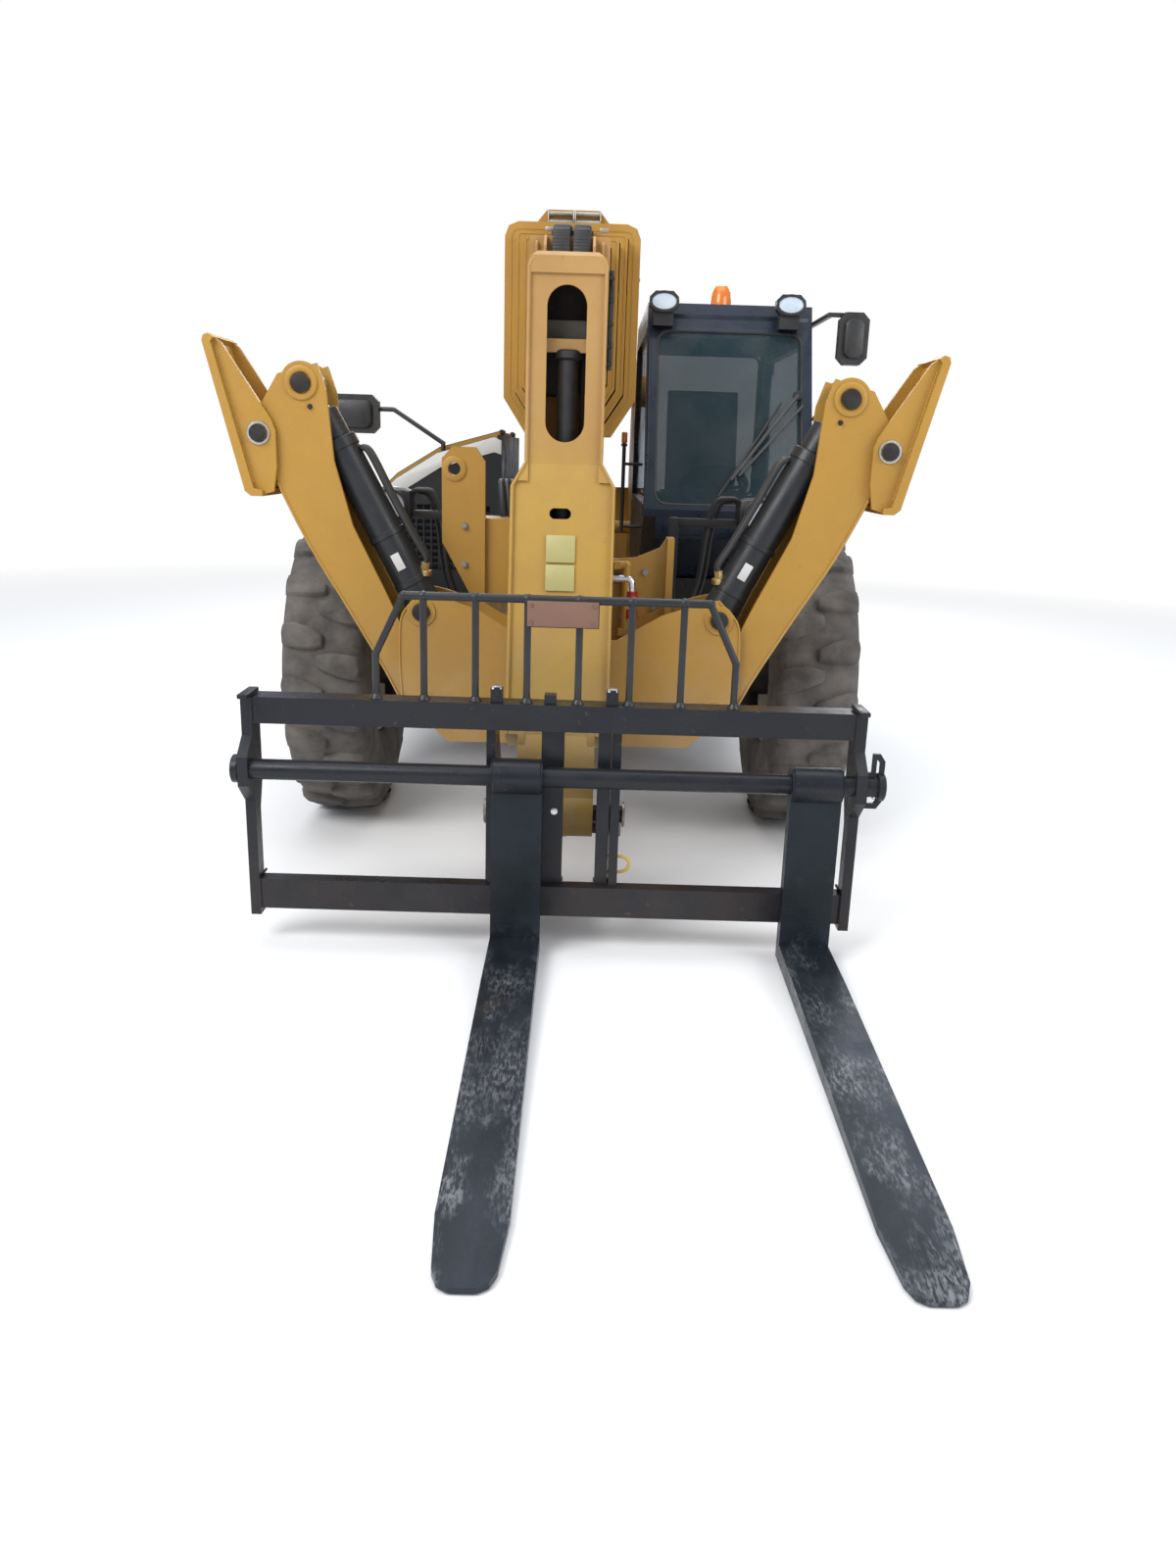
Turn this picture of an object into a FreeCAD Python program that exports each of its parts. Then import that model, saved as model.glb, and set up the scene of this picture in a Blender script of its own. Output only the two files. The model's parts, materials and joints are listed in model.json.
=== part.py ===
"""A telescopic handler: four wheel steering, side cab, four section boom, fork carriage, front stabilisers.

Row frame in millimetres: the machine faces -Y, its left side (the cab side) is +X, and up is +Z.
Lengths along the machine are counted from the front axle, which stands at front_axle_y, so that the
whole object is centred on the origin. Every size is a named cell of the sheet.
"""
import FreeCAD, Part
import math
import os
import re

import Sketcher
from FreeCAD import Rotation, Vector

doc = FreeCAD.newDocument("Telehandler")

# Driving dimensions
SIZES = {
    # Wheels and axles
    "wheelbase": 3200, "width_over_tyres": 2490, "tyre_diameter": 1370, "tyre_width": 375,
    "tread_width": 300, "bead_width": 280, "tyre_facets": 36, "lug_height": 34, "lug_count": 18,
    "lug_over": 10, "lug_outer": 172, "lug_long": 108, "lug_taper": 14, "lug_sink": 30,
    "side_reach": 575, "rim_diameter": 610, "rim_wall": 18, "rim_disc": 22, "rim_dish": 40,
    "rim_gap": 0.3, "hub_radius": 125, "hub_length": 130, "hub_cap_radius": 85, "hub_cap_length": 45,
    "kingpin_x": 830, "kingpin_radius": 68, "kingpin_half": 150, "yoke_plate": 35, "yoke_half": 75,
    "stub_radius": 85, "spindle_radius": 60, "spindle_reach": 70, "axle_tube_radius": 95,
    "diff_radius": 205, "diff_length": 330,
    # Chassis
    "chassis_half": 400, "chassis_plate": 30, "chassis_drop": 205, "belly_plate": 25,
    "chassis_front": -790, "chassis_rise": 375, "arch_rise": 220, "arch_half": 280, "arch_slope": 130,
    "tail_overhang": 1450, "tail_length": 590, "tail_cover": 200, "tail_half": 1060, "tail_bottom": 560,
    "tail_top": 1320, "tail_corner": 160, "tail_lamp_in": 760, "tail_lamp_out": 1010,
    "tail_lamp_low": 1080, "tail_lamp_high": 1200, "tail_lamp_sink": 34, "axle_seat_half": 130,
    "axle_seat": 30, "front_plate_top": 1700, "plate_eye_x": -471, "plate_eye_z": 1617,
    "plate_eye_radius": 24, "front_plate": 25, "tower_top": 2370, "tower_foot": 1420,
    "tower_before": 340, "tower_behind": 320,
    # Boom
    "boom_x": -35, "boom_half": 250, "boom_top": 2540, "boom_side_low": 1905, "boom_low": 1775,
    "boom_low_half": 165, "boom_nest": 35, "boom_wall": 10, "boom_round": 36, "boom_round_least": 8,
    "boom_step": 110, "pad_gap": 0.3, "slide_gap": 6, "boom_front": -500, "boom_tail": 290,
    "boom_rear_step": 480, "collar_grow": 18, "collar_length": 260, "pivot_overhang": 840,
    "boom_pivot_z": 2160, "boom_hub_radius": 120, "boom_pin_radius": 50, "hose_cap_half": 163,
    "hose_cap_top": 2610, "hose_cap_length": 520,
    # Nose at the boom's end
    "nose_half": 140, "nose_low_half": 188, "nose_face": -1200, "nose_top": 2335, "nose_back": -900,
    "nose_wall": 14, "nose_flare": 1650, "nose_recess": 10, "nose_round": 35, "nose_slope": 85, "slot_half": 69,
    "slot_low": 1725, "slot_high": 2245, "slot_bar_low": 2030, "slot_bar_high": 2075,
    "small_slot_z": 1479, "small_slot_half": 19, "tilt_pivot_y": -1420, "tilt_pivot_z": 420,
    "tilt_pin_radius": 32, "tilt_eye_radius": 85, "lever_y": -1228, "lever_z": 309, "tilt_top_y": -1090,
    "tilt_top_z": 1500, "tilt_eye_half": 45, "tilt_radius": 60, "tilt_rod_radius": 32,
    "tilt_length": 760, "tilt_rod_length": 770, "tilt_rod_eye": 47, "lever_pin_radius": 28,
    # Carriage and forks
    "carriage_half": 1048, "carriage_face": -1700, "rail_depth": 100, "top_rail_low": 790,
    "top_rail_high": 880, "low_rail_low": 127, "low_rail_high": 235, "end_plate": 35, "shaft_z": 640,
    "shaft_radius": 35, "shaft_over": 50, "fork_eye_radius": 58, "fork_width": 172, "fork_thick": 60,
    "fork_reach": 3455, "fork_foot": 6, "fork_tip_thick": 14, "fork_right_x": -155, "fork_left_x": 850,
    "fork_gap": 5, "guard_half": 600, "guard_top": 1226, "guard_knee": 1030, "guard_bar": 12,
    "guard_y": -1660, "guard_lean": 95, "guard_pitch": 172,
    # Stabilisers
    "stab_front": -1020, "stab_depth": 200, "stab_gap": 10, "stab_plate": 20, "stab_wall": 18,
    "leg_pivot_x": 565, "leg_pivot_z": 725, "leg_pin_radius": 32, "foot_pin_x": 1160,
    "foot_pin_z": 1727, "ram_top_x": 1004, "ram_top_z": 1907, "ram_low_x": 569, "ram_low_z": 1090,
    "ram_radius": 68, "ram_rod_radius": 35, "ram_length": 700, "ram_eye": 62, "ram_eye_half": 60,
    "foot_half": 150, "foot_pin_radius": 30, "foot_cheek": 18, "leg_lobe": 76,
    # Cab
    "cab_in": 330, "cab_out": 1170, "cab_front": 830, "cab_nose": 450, "cab_toe": 890,
    "cab_tyre_room": 870, "cab_roof": 2440, "cab_wall": 45, "cab_sill": 1430, "door_gap": 8, "glass": 8,
    "door_hinge_radius": 12, "door_hinge_length": 50, "steering_radius": 180, "steering_grip": 15,
    "steering_lean": 38.7,
    # Engine pod and tank
    "pod_in": -410, "pod_out": -1150, "pod_front": 850, "cowl_length": 160, "pod_tyre_room": 850,
    "pod_low": 620, "pod_mid": 1000, "hood_wall": 25, "hood_axis_z": 1785, "hinge_radius": 14,
    "hinge_length": 60, "hood_foot": 1010, "hood_side_top": 1395, "hood_bend_x": -985,
    "hood_bend_z": 1552, "hood_crown_x": -757, "hood_crown_z": 1693, "grille_low": 1060,
    "grille_high": 1400, "slat_pitch": 34, "slat_height": 12, "tank_low": 560,
    # Lift ram
    "lift_foot_ahead": 490, "lift_low_z": 1150, "lift_top_ahead": 2290, "lift_top_z": 1640,
    "lift_radius": 95, "lift_pin_radius": 45, "lift_rod_radius": 55, "lift_length": 1500,
    "lift_eye": 70, "lift_eye_half": 75,
    # Small pieces
    "pipe_radius": 17, "mirror_arm": 190, "mirror_right_arm": 210, "mirror_bar": 12,
    "mirror_left_low": 2130, "mirror_left_high": 2365, "mirror_right_low": 1755,
    "mirror_right_high": 1950, "mirror_thick": 60, "mirror_corner": 32, "head_in": 680, "head_out": 860,
    "head_low": 1385, "head_high": 1530, "beacon_radius": 65, "beacon_height": 250,
    # Clearances
    "pin_gap": 0.5, "seat_gap": 0.3,
}

# Sizes worked out from the driving ones
WORKED_OUT = {
    "tail_reach": "wheelbase + tail_overhang",
    "front_axle_y": "(fork_reach - tail_reach) / 2",
    "axle_z": "tyre_diameter / 2",
    "tread_base": "tyre_diameter / 2 - lug_height",
    "chassis_bottom": "axle_z - chassis_drop",
    "chassis_top": "axle_z + chassis_rise",
    "arch_top": "axle_z + arch_rise",
    "tail_start": "tail_reach - tail_length",
    "chassis_tail": "tail_reach - tail_cover",
    "boom_pivot_y": "wheelbase + pivot_overhang",
    "tower_front": "boom_pivot_y - tower_before",
    "tower_rear": "boom_pivot_y + tower_behind",
    "boom_rear": "boom_pivot_y + boom_tail",
    "lift_low_y": "boom_pivot_y - lift_foot_ahead",
    "lift_top_y": "boom_pivot_y - lift_top_ahead",
    "cab_rear": "wheelbase - cab_tyre_room",
    "pod_rear": "wheelbase - pod_tyre_room",
    "mirror_left_x": "cab_out + mirror_arm",
    "mirror_right_x": "pod_out - mirror_right_arm",
    "tyre_x": "(width_over_tyres - tyre_width) / 2",
    "stab_rear": "stab_front + stab_depth",
    "shank_y": "carriage_face - fork_thick",
    "shaft_y": "carriage_face - fork_thick / 2",
    "cab_floor": "chassis_top + seat_gap",
    "hood_axis_x": "pod_in - 25 - pin_gap",
}

sheet = doc.addObject("Spreadsheet::Sheet", "Sizes")
row = 0
for alias, value in SIZES.items():
    row += 1
    sheet.set(f"A{row}", alias)
    sheet.set(f"B{row}", str(value))
    sheet.setAlias(f"B{row}", alias)
for alias, text in WORKED_OUT.items():
    row += 1
    sheet.set(f"A{row}", alias)
    sheet.set(f"B{row}", "=" + text)
    sheet.setAlias(f"B{row}", alias)
doc.recompute()


# Helpers
def bind(item, prop, text):
    """Set a property by an expression in which the sheet's names stand bare."""
    def named(word):
        known = word.group() in SIZES or word.group() in WORKED_OUT
        return "Sizes." + word.group() if known else word.group()
    item.setExpression(prop, re.sub(r"[a-z]\w*", named, str(text)))


def put(item, place):
    """Place an item: x, y counted from the front axle, and z."""
    bind(item, "Placement.Base.x", place[0])
    bind(item, "Placement.Base.y", f"front_axle_y + ({place[1]})")
    bind(item, "Placement.Base.z", place[2])
    return item


def box(name, low, high):
    """A block between its low and high corners."""
    item = doc.addObject("Part::Box", name)
    for prop, a, b in zip(("Length", "Width", "Height"), low, high):
        bind(item, prop, f"({b}) - ({a})")
    return put(item, low)


def cylinder(name, radius, length, place, axis):
    """A round bar that starts at a place and runs along +X, +Y or +Z."""
    item = doc.addObject("Part::Cylinder", name)
    turns = {"X": Rotation(Vector(0, 1, 0), 90), "Y": Rotation(Vector(1, 0, 0), -90), "Z": Rotation()}
    item.Placement.Rotation = turns[axis]
    bind(item, "Radius", radius)
    bind(item, "Height", length)
    return put(item, place)


def strut(name, radius, start, finish, length=None):
    """A round bar between two points that share their x or their y, or of a stated length."""
    item = doc.addObject("Part::Cylinder", name)
    across = start[0] != finish[0]
    first = 0 if across else 1
    run = f"(({finish[first]}) - ({start[first]}))"
    rise = f"(({finish[2]}) - ({start[2]}))"
    item.Placement.Rotation = Rotation(Vector(0, 1, 0) if across else Vector(-1, 0, 0), 10)
    bind(item, "Placement.Rotation.Angle", f"atan2({run}; {rise})")
    bind(item, "Radius", radius)
    bind(item, "Height", length or f"sqrt({run} ^ 2 + {rise} ^ 2)")
    return put(item, start)


def sketch_loops(sketch, loops, holes):
    """Draw closed outlines and round holes, each point bound to its own expressions."""
    for loop in loops:
        first = sketch.GeometryCount
        count = len(loop)
        corners = [Rotation(Vector(0, 0, 1), 360 * i / count).multVec(Vector(90, 0, 0))
                   for i in range(count)]
        for i in range(count):
            sketch.addGeometry(Part.LineSegment(corners[i], corners[(i + 1) % count]), False)
        for i in range(count):
            follow = first + (i + 1) % count
            sketch.addConstraint(Sketcher.Constraint("Coincident", first + i, 2, follow, 1))
            for kind, text in zip(("DistanceX", "DistanceY"), loop[i]):
                number = sketch.addConstraint(Sketcher.Constraint(kind, -1, 1, first + i, 1, 50))
                bind(sketch, f"Constraints[{number}]", text)
    for across, along, radius in holes:
        circle = sketch.addGeometry(Part.Circle(Vector(5, 5, 0), Vector(0, 0, 1), 5), False)
        for kind, text in (("DistanceX", across), ("DistanceY", along)):
            number = sketch.addConstraint(Sketcher.Constraint(kind, -1, 1, circle, 3, 5))
            bind(sketch, f"Constraints[{number}]", text)
        number = sketch.addConstraint(Sketcher.Constraint("Radius", circle, 5))
        bind(sketch, f"Constraints[{number}]", radius)


def body_with_sketch(name, role, loops, holes=()):
    body = doc.addObject("PartDesign::Body", name)
    sketch = body.newObject("Sketcher::SketchObject", name + "_outline")
    plane = [item for item in body.Origin.OriginFeatures if item.Role == role][0]
    sketch.AttachmentSupport = [(plane, "")]
    sketch.MapMode = "FlatFace"
    sketch_loops(sketch, loops, holes)
    return body, sketch


def slab(name, facing, outline, low, high, holes=(), inside=None):
    """A plate or tube drawn as an outline and as thick as low to high along its facing axis.

    Facing Y the outline is in x and z, facing X in y and z, and facing Z in x and y.
    """
    role = {"X": "YZ_Plane", "Y": "XZ_Plane", "Z": "XY_Plane"}[facing]
    loops = [outline] if inside is None else [outline, inside]
    body, sketch = body_with_sketch(name, role, loops, holes)
    pad = body.newObject("PartDesign::Pad", name + "_pad")
    pad.Profile = sketch
    bind(pad, "Length", f"({high}) - ({low})")
    # The sketch on the XZ plane pads towards -Y, so it starts at the high side
    place = {"X": (low, "0", "0"), "Y": ("0", high, "0"), "Z": ("0", "0", low)}[facing]
    put(body, place)
    return body


def turned(name, profile, place):
    """A ring turned about the X axis from a profile of x and radius."""
    body, sketch = body_with_sketch(name, "XZ_Plane", [profile])
    ring = body.newObject("PartDesign::Revolution", name + "_turn")
    ring.Profile = sketch
    ring.ReferenceAxis = (sketch, ["H_Axis"])
    ring.Angle = 360
    return put(body, place)


def fuse(name, items, refine=True):
    item = doc.addObject("Part::MultiFuse", name)
    item.Shapes = items
    item.Refine = refine
    return item


def cut(name, base, tools):
    item = doc.addObject("Part::Cut", name)
    item.Base = base
    item.Tool = tools[0] if len(tools) == 1 else fuse(name + "_tools", tools)
    item.Refine = True
    return item


def mirror(name, source):
    """The same piece on the machine's other side."""
    item = doc.addObject("Part::Mirroring", name)
    item.Source = source
    item.Normal = Vector(1, 0, 0)
    return item


nodes = {}


def node(name, item):
    item.Label = name
    nodes[name] = item
    return item


# Wheels, knuckles and axles
def cell(alias):
    """A size as the sheet holds it."""
    return float(sheet.get(alias))


def make_carcass(name, along):
    """A tyre without its lugs: a closed ring of flat facets, whose bore lies on the rim."""
    half, tread, bead = cell("tyre_width") / 2, cell("tread_width") / 2, cell("bead_width") / 2
    profile = [(bead, cell("rim_diameter") / 2 + cell("rim_gap")), (half, cell("side_reach")),
               (tread, cell("tread_base"))]
    profile += [(-across, reach) for across, reach in reversed(profile)]
    facets = int(cell("tyre_facets"))
    turn = Rotation(Vector(1, 0, 0), 360 / facets)
    half_turn = Rotation(Vector(1, 0, 0), 180 / facets)
    rings = []
    for across, reach in profile:
        corner = half_turn.multVec(Vector(across, 0, reach / math.cos(math.pi / facets)))
        rings.append([corner])
        for number in range(facets - 1):
            rings[-1].append(turn.multVec(rings[-1][-1]))
    faces = []
    for near, far in zip(rings, rings[1:] + rings[:1]):
        for number in range(facets):
            follow = (number + 1) % facets
            corners = [near[number], near[follow], far[follow], far[number], near[number]]
            faces.append(Part.Face(Part.makePolygon(corners)))
    item = doc.addObject("Part::Feature", name)
    item.Shape = Part.Solid(Part.Shell(faces))
    return put(item, ("tyre_x", along, "axle_z"))


def tread_lug(name, along, angle, side):
    """One tapered tread block, from just over the middle to the shoulder, at an angle round the wheel."""
    block = doc.addObject("Part::Wedge", name)
    near, far = ("-lug_over", "lug_outer") if side > 0 else ("-lug_outer", "lug_over")
    for prop, size in (("Xmin", near), ("Xmax", far), ("X2min", f"{near} + lug_taper"),
                       ("X2max", f"{far} - lug_taper"),
                       ("Ymax", "lug_sink + lug_height"), ("Zmin", "-lug_long / 2"),
                       ("Zmax", "lug_long / 2"),
                       ("Z2min", "lug_taper - lug_long / 2"), ("Z2max", "lug_long / 2 - lug_taper")):
        bind(block, prop, size)
    block.Ymin = 0
    block.Placement.Rotation = Rotation(Vector(1, 0, 0), 90 - angle)
    foot = "(tread_base - lug_sink)"
    return put(block, ("tyre_x", f"{along} + {foot} * sin({angle})", f"axle_z + {foot} * cos({angle})"))


def make_tyre(name, along):
    pitch = 360 / SIZES["lug_count"]
    lugs = []
    for number in range(SIZES["lug_count"]):
        lugs.append(tread_lug(f"{name}_lug_left_{number}", along, number * pitch, 1))
        lugs.append(tread_lug(f"{name}_lug_right_{number}", along, (number + 0.5) * pitch, -1))
    return fuse(name, [make_carcass(f"{name}_carcass", along)] + lugs)


def make_wheels():
    for end, along in (("front", "0"), ("rear", "wheelbase")):
        tyre = make_tyre(f"tyre_{end}_left", along)
        node(f"tyre_{end}_left", tyre)
        node(f"tyre_{end}_right", mirror(f"tyre_{end}_right", tyre))
        band = cut(f"band_{end}", cylinder(f"band_out_{end}", "rim_diameter / 2", "bead_width",
                                           ("tyre_x - bead_width / 2", along, "axle_z"), "X"),
                   [cylinder(f"band_in_{end}", "rim_diameter / 2 - rim_wall", "bead_width + 2",
                             ("tyre_x - bead_width / 2 - 1", along, "axle_z"), "X")])
        disc = cylinder(f"disc_{end}", "rim_diameter / 2 - 2", "rim_disc",
                        ("tyre_x + rim_dish", along, "axle_z"), "X")
        hub = cylinder(f"hub_{end}", "hub_radius", "hub_length",
                       ("tyre_x + rim_dish - 40", along, "axle_z"), "X")
        cap = cylinder(f"hub_cap_{end}", "hub_cap_radius", "hub_cap_length",
                       ("tyre_x + rim_dish - 40 + hub_length", along, "axle_z"), "X")
        bore = cylinder(f"hub_bore_{end}", "spindle_radius + pin_gap", "spindle_reach + 10",
                        ("tyre_x + rim_dish - 50", along, "axle_z"), "X")
        rim = cut(f"rim_{end}_left", fuse(f"rim_whole_{end}", [band, disc, hub, cap]), [bore])
        node(f"rim_{end}_left", rim)
        node(f"rim_{end}_right", mirror(f"rim_{end}_right", rim))
        post = cylinder(f"post_{end}", "kingpin_radius", "kingpin_half * 2",
                        ("kingpin_x", along, "axle_z - kingpin_half"), "Z")
        stub = cylinder(f"stub_{end}", "stub_radius", "tyre_x + rim_dish - 41 - kingpin_x",
                        ("kingpin_x", along, "axle_z"), "X")
        spindle = cylinder(f"spindle_{end}", "spindle_radius",
                           "tyre_x + rim_dish - 50 + spindle_reach - kingpin_x",
                           ("kingpin_x", along, "axle_z"), "X")
        knuckle = fuse(f"knuckle_{end}_left", [post, stub, spindle])
        node(f"knuckle_{end}_left", knuckle)
        node(f"knuckle_{end}_right", mirror(f"knuckle_{end}_right", knuckle))


def make_axles():
    for end, along in (("front", "0"), ("rear", "wheelbase")):
        reach = "kingpin_x - kingpin_radius - yoke_plate - 25"
        pieces = [
            cylinder(f"axle_tube_{end}", "axle_tube_radius", f"2 * ({reach}) + 20",
                     (f"-({reach}) - 10", along, "axle_z"), "X"),
            cylinder(f"diff_{end}", "diff_radius", "diff_length",
                     ("-diff_length / 2", along, "axle_z"), "X"),
            box(f"axle_pad_{end}", ("-chassis_half + 10", f"{along} - 90", "axle_z + 20"),
                ("chassis_half - 10", f"{along} + 90", "arch_top - seat_gap")),
        ]
        for side in (-1, 1):
            arm = "kingpin_x + yoke_half - 15"
            low_x = reach if side > 0 else f"-({arm})"
            high_x = arm if side > 0 else f"-({reach})"
            for level, foot in (("top", "axle_z + kingpin_half + pin_gap"),
                                ("low", "axle_z - kingpin_half - pin_gap - yoke_plate")):
                pieces.append(box(f"yoke_{end}_{level}_{side + 1}", (low_x, f"{along} - yoke_half", foot),
                                  (high_x, f"{along} + yoke_half", f"{foot} + yoke_plate")))
            near = reach if side > 0 else f"-({reach}) - yoke_plate"
            pieces.append(box(f"yoke_wall_{end}_{side + 1}",
                              (near, f"{along} - yoke_half",
                               "axle_z - kingpin_half - pin_gap - yoke_plate"),
                              (f"{near} + yoke_plate", f"{along} + yoke_half",
                               "axle_z + kingpin_half + pin_gap + yoke_plate")))
        node(f"axle_{end}", fuse(f"axle_{end}", pieces))


def make_pipe():
    """A bright pipe that leaves a clamp on the left plate and turns down to the stabiliser frame."""
    y, high, low, out = "chassis_front - 35", "1268", "1005", "215"
    elbow = doc.addObject("Part::Sphere", "pipe_elbow")
    bind(elbow, "Radius", "pipe_radius + 1")
    put(elbow, (out, y, high))
    return [cylinder("pipe_across", "pipe_radius", f"{out} - 125", ("125", y, high), "X"), elbow,
            cylinder("pipe_down", "pipe_radius", f"{high} - {low}", (out, y, low), "Z"),
            box("pipe_clamp", ("165", f"{y} - 24", f"{high} - 14"),
                ("190", "chassis_front - 3", f"{high} + 14")),
            box("pipe_foot", (f"{out} - 26", f"{y} - 26", f"{low} - 15"),
                (f"{out} + 26", "stab_rear + stab_gap + 3", f"{low} + 12"))]


# Chassis, with the stabiliser frame at its front and the boom's towers at its rear
def make_chassis():
    side = [("chassis_front", "585"), ("chassis_front", "1150"), ("-450", "1150"), ("-250", "chassis_top"),
            ("lift_low_y - 650", "chassis_top"), ("lift_low_y - 200", "tower_foot"),
            ("tower_front", "tower_top"),
            ("tower_rear", "tower_top"), ("chassis_tail", "tower_foot"), ("chassis_tail", "tail_bottom"),
            ("wheelbase + arch_half + arch_slope", "tail_bottom"), ("wheelbase + arch_half", "arch_top"),
            ("wheelbase - arch_half", "arch_top"), ("wheelbase - arch_half - arch_slope", "chassis_bottom"),
            ("arch_half + arch_slope", "chassis_bottom"), ("arch_half", "arch_top"),
            ("-arch_half", "arch_top"),
            ("-arch_half - 60", "600")]
    pieces = [
        slab("side_left", "X", side, "chassis_half - chassis_plate", "chassis_half"),
        slab("side_right", "X", side, "-chassis_half", "chassis_plate - chassis_half"),
        box("belly", ("-chassis_half + 5", "arch_half + arch_slope + 5", "chassis_bottom"),
            ("chassis_half - 5", "wheelbase - arch_half - arch_slope - 5", "chassis_bottom + belly_plate")),
        box("tail_floor", ("-chassis_half + 5", "wheelbase + arch_half + arch_slope + 5", "tail_bottom"),
            ("chassis_half - 5", "chassis_tail - 5", "tail_bottom + belly_plate")),
        box("tail_wall", ("-chassis_half + 5", "chassis_tail - 40", "tail_bottom"),
            ("chassis_half - 5", "chassis_tail", "tower_foot")),
        box("front_floor", ("-chassis_half + 5", "chassis_front + 1", "600"),
            ("chassis_half - 5", "-arch_half - 65", "630")),
        box("axle_seat_front", ("-chassis_half + 5", "-axle_seat_half", "arch_top + 1"),
            ("chassis_half - 5", "axle_seat_half", "arch_top + 1 + axle_seat")),
        box("axle_seat_rear", ("-chassis_half + 5", "wheelbase - axle_seat_half", "arch_top + 1"),
            ("chassis_half - 5", "wheelbase + axle_seat_half", "arch_top + 1 + axle_seat")),
        cylinder("lift_pin", "lift_pin_radius", "chassis_half * 2 - 20",
                 ("-chassis_half + 10", "lift_low_y", "lift_low_z"), "X"),
        cylinder("boom_pin", "boom_pin_radius", "chassis_half * 2 + 40",
                 ("-chassis_half - 20", "boom_pivot_y", "boom_pivot_z"), "X"),
    ]
    half = [("470", "585"), ("545", "655"), ("640", "700"), ("655", "1000"), ("640", "1090"),
            ("569", "1165"), ("500", "1150"), ("350", "1100"), ("180", "1000")]
    outline = half + [(f"-({x})", z) for x, z in reversed(half)]
    for name, low in (("stab_face", "stab_front - stab_gap - stab_plate"),
                      ("stab_back", "stab_rear + stab_gap")):
        pieces.append(slab(name, "Y", outline, low, f"{low} + stab_plate"))
    pieces.append(box("stab_core", ("-330", "stab_front - stab_gap - 1", "600"),
                      ("330", "chassis_front + 5", "960")))
    for sign in ("", "-"):
        for label, x, z in (("leg", "leg_pivot_x", "leg_pivot_z"), ("ram", "ram_low_x", "ram_low_z")):
            pieces.append(cylinder(f"{label}_pin_{'left' if sign == '' else 'right'}", "leg_pin_radius",
                                   "stab_depth + 2 * stab_gap + 2 * stab_plate + 30",
                                   (f"{sign}{x}", "stab_front - stab_gap - stab_plate - 15", z), "Y"))
    pieces.append(slab("front_plate_right", "Y", [
        ("-350", "1100"), ("-350", "front_plate_top - 55"), ("-388", "front_plate_top"),
        ("-478", "front_plate_top"), ("-520", "front_plate_top - 45"), ("-520", "1335"), ("-392", "1100")], "chassis_front - 5", "chassis_front + front_plate",
                       holes=[("plate_eye_x", "plate_eye_z", "plate_eye_radius")]))
    pieces.append(box("front_box_right", ("-400", "chassis_front + 20", "1100"), ("-250", "-560", "1430")))
    pieces.append(slab("front_plate_left", "Y",
                       [("160", "990"), ("160", "1286"), ("250", "1295"), ("345", "1335"),
                                                 ("372", "1377"), ("400", "1377"), ("400", "990")],
                       "chassis_front - 5", "chassis_front + front_plate"))
    pieces.append(box("front_flange_left", ("372", "chassis_front - 45", "1050"),
                      ("400", "chassis_front + 60", "1377")))
    pieces += make_pipe()
    node("chassis", fuse("chassis", pieces))
    corner = "tail_corner"
    weight = slab("counterweight", "Z", [
        ("-tail_half", "tail_start"), ("tail_half", "tail_start"), ("tail_half", f"tail_reach - {corner}"),
        (f"tail_half - {corner}", "tail_reach"), (f"{corner} - tail_half", "tail_reach"),
        ("-tail_half", f"tail_reach - {corner}")], "tail_bottom + 10", "tail_top")
    slot = box("counterweight_slot", ("-chassis_half - 0.3", "tail_start - 10", "tail_bottom - 10"),
               ("chassis_half + 0.3", "chassis_tail + 0.3", "tail_top + 10"))
    recesses, lamps = [], []
    for label, low, high in (("right", "-tail_lamp_out", "-tail_lamp_in"),
                             ("left", "tail_lamp_in", "tail_lamp_out")):
        recesses.append(box(f"tail_recess_{label}", (low, "tail_reach - tail_lamp_sink", "tail_lamp_low"),
                            (high, "tail_reach + 20", "tail_lamp_high")))
        lamps.append(box(f"tail_lamp_{label}",
                         (f"{low} + seat_gap", "tail_reach - tail_lamp_sink + seat_gap",
                          "tail_lamp_low + seat_gap"),
                         (f"{high} - seat_gap", "tail_reach - 4", "tail_lamp_high - seat_gap")))
    node("counterweight", cut("counterweight_cut", weight, [slot] + recesses))
    node("tail_lamps", fuse("tail_lamps", lamps))


# Boom sections, each a nested tube of the same form
def boom_outline(inset):
    """The section's outline in x and z, drawn in from the outer section by an inset."""
    bend = f"max(boom_round - ({inset}); boom_round_least)"
    near = f"{bend} * (1 - sin(45))"
    wall = f"(boom_half - ({inset}))"
    crown = f"boom_top - ({inset})"
    return [(f"boom_x - {wall} + {bend}", crown), (f"boom_x - {wall} + {near}", f"{crown} - {near}"),
            (f"boom_x - {wall}", f"{crown} - {bend}"),
            (f"boom_x - boom_half + {inset}", f"boom_side_low + ({inset}) * 0.4"),
            (f"boom_x - boom_low_half + ({inset}) * 0.6", f"boom_low + ({inset})"),
            (f"boom_x + boom_low_half - ({inset}) * 0.6", f"boom_low + ({inset})"),
            (f"boom_x + boom_half - ({inset})", f"boom_side_low + ({inset}) * 0.4"),
            (f"boom_x + {wall}", f"{crown} - {bend}"), (f"boom_x + {wall} - {near}", f"{crown} - {near}"),
            (f"boom_x + {wall} - {bend}", crown)]


def boom_tube(name, order, front, rear):
    inset = f"boom_nest * {order}"
    return slab(name, "Y", boom_outline(inset), front, rear, inside=boom_outline(inset + " + boom_wall"))


def boom_face(name, order, front):
    """A plate that closes the gap round the next section at a tube's front end."""
    return slab(name, "Y", boom_outline(f"boom_nest * {order} + boom_wall - 1"), f"{front} + 2",
                f"{front} + 14",
                inside=boom_outline(f"boom_nest * ({order} + 1) - slide_gap"))


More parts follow.
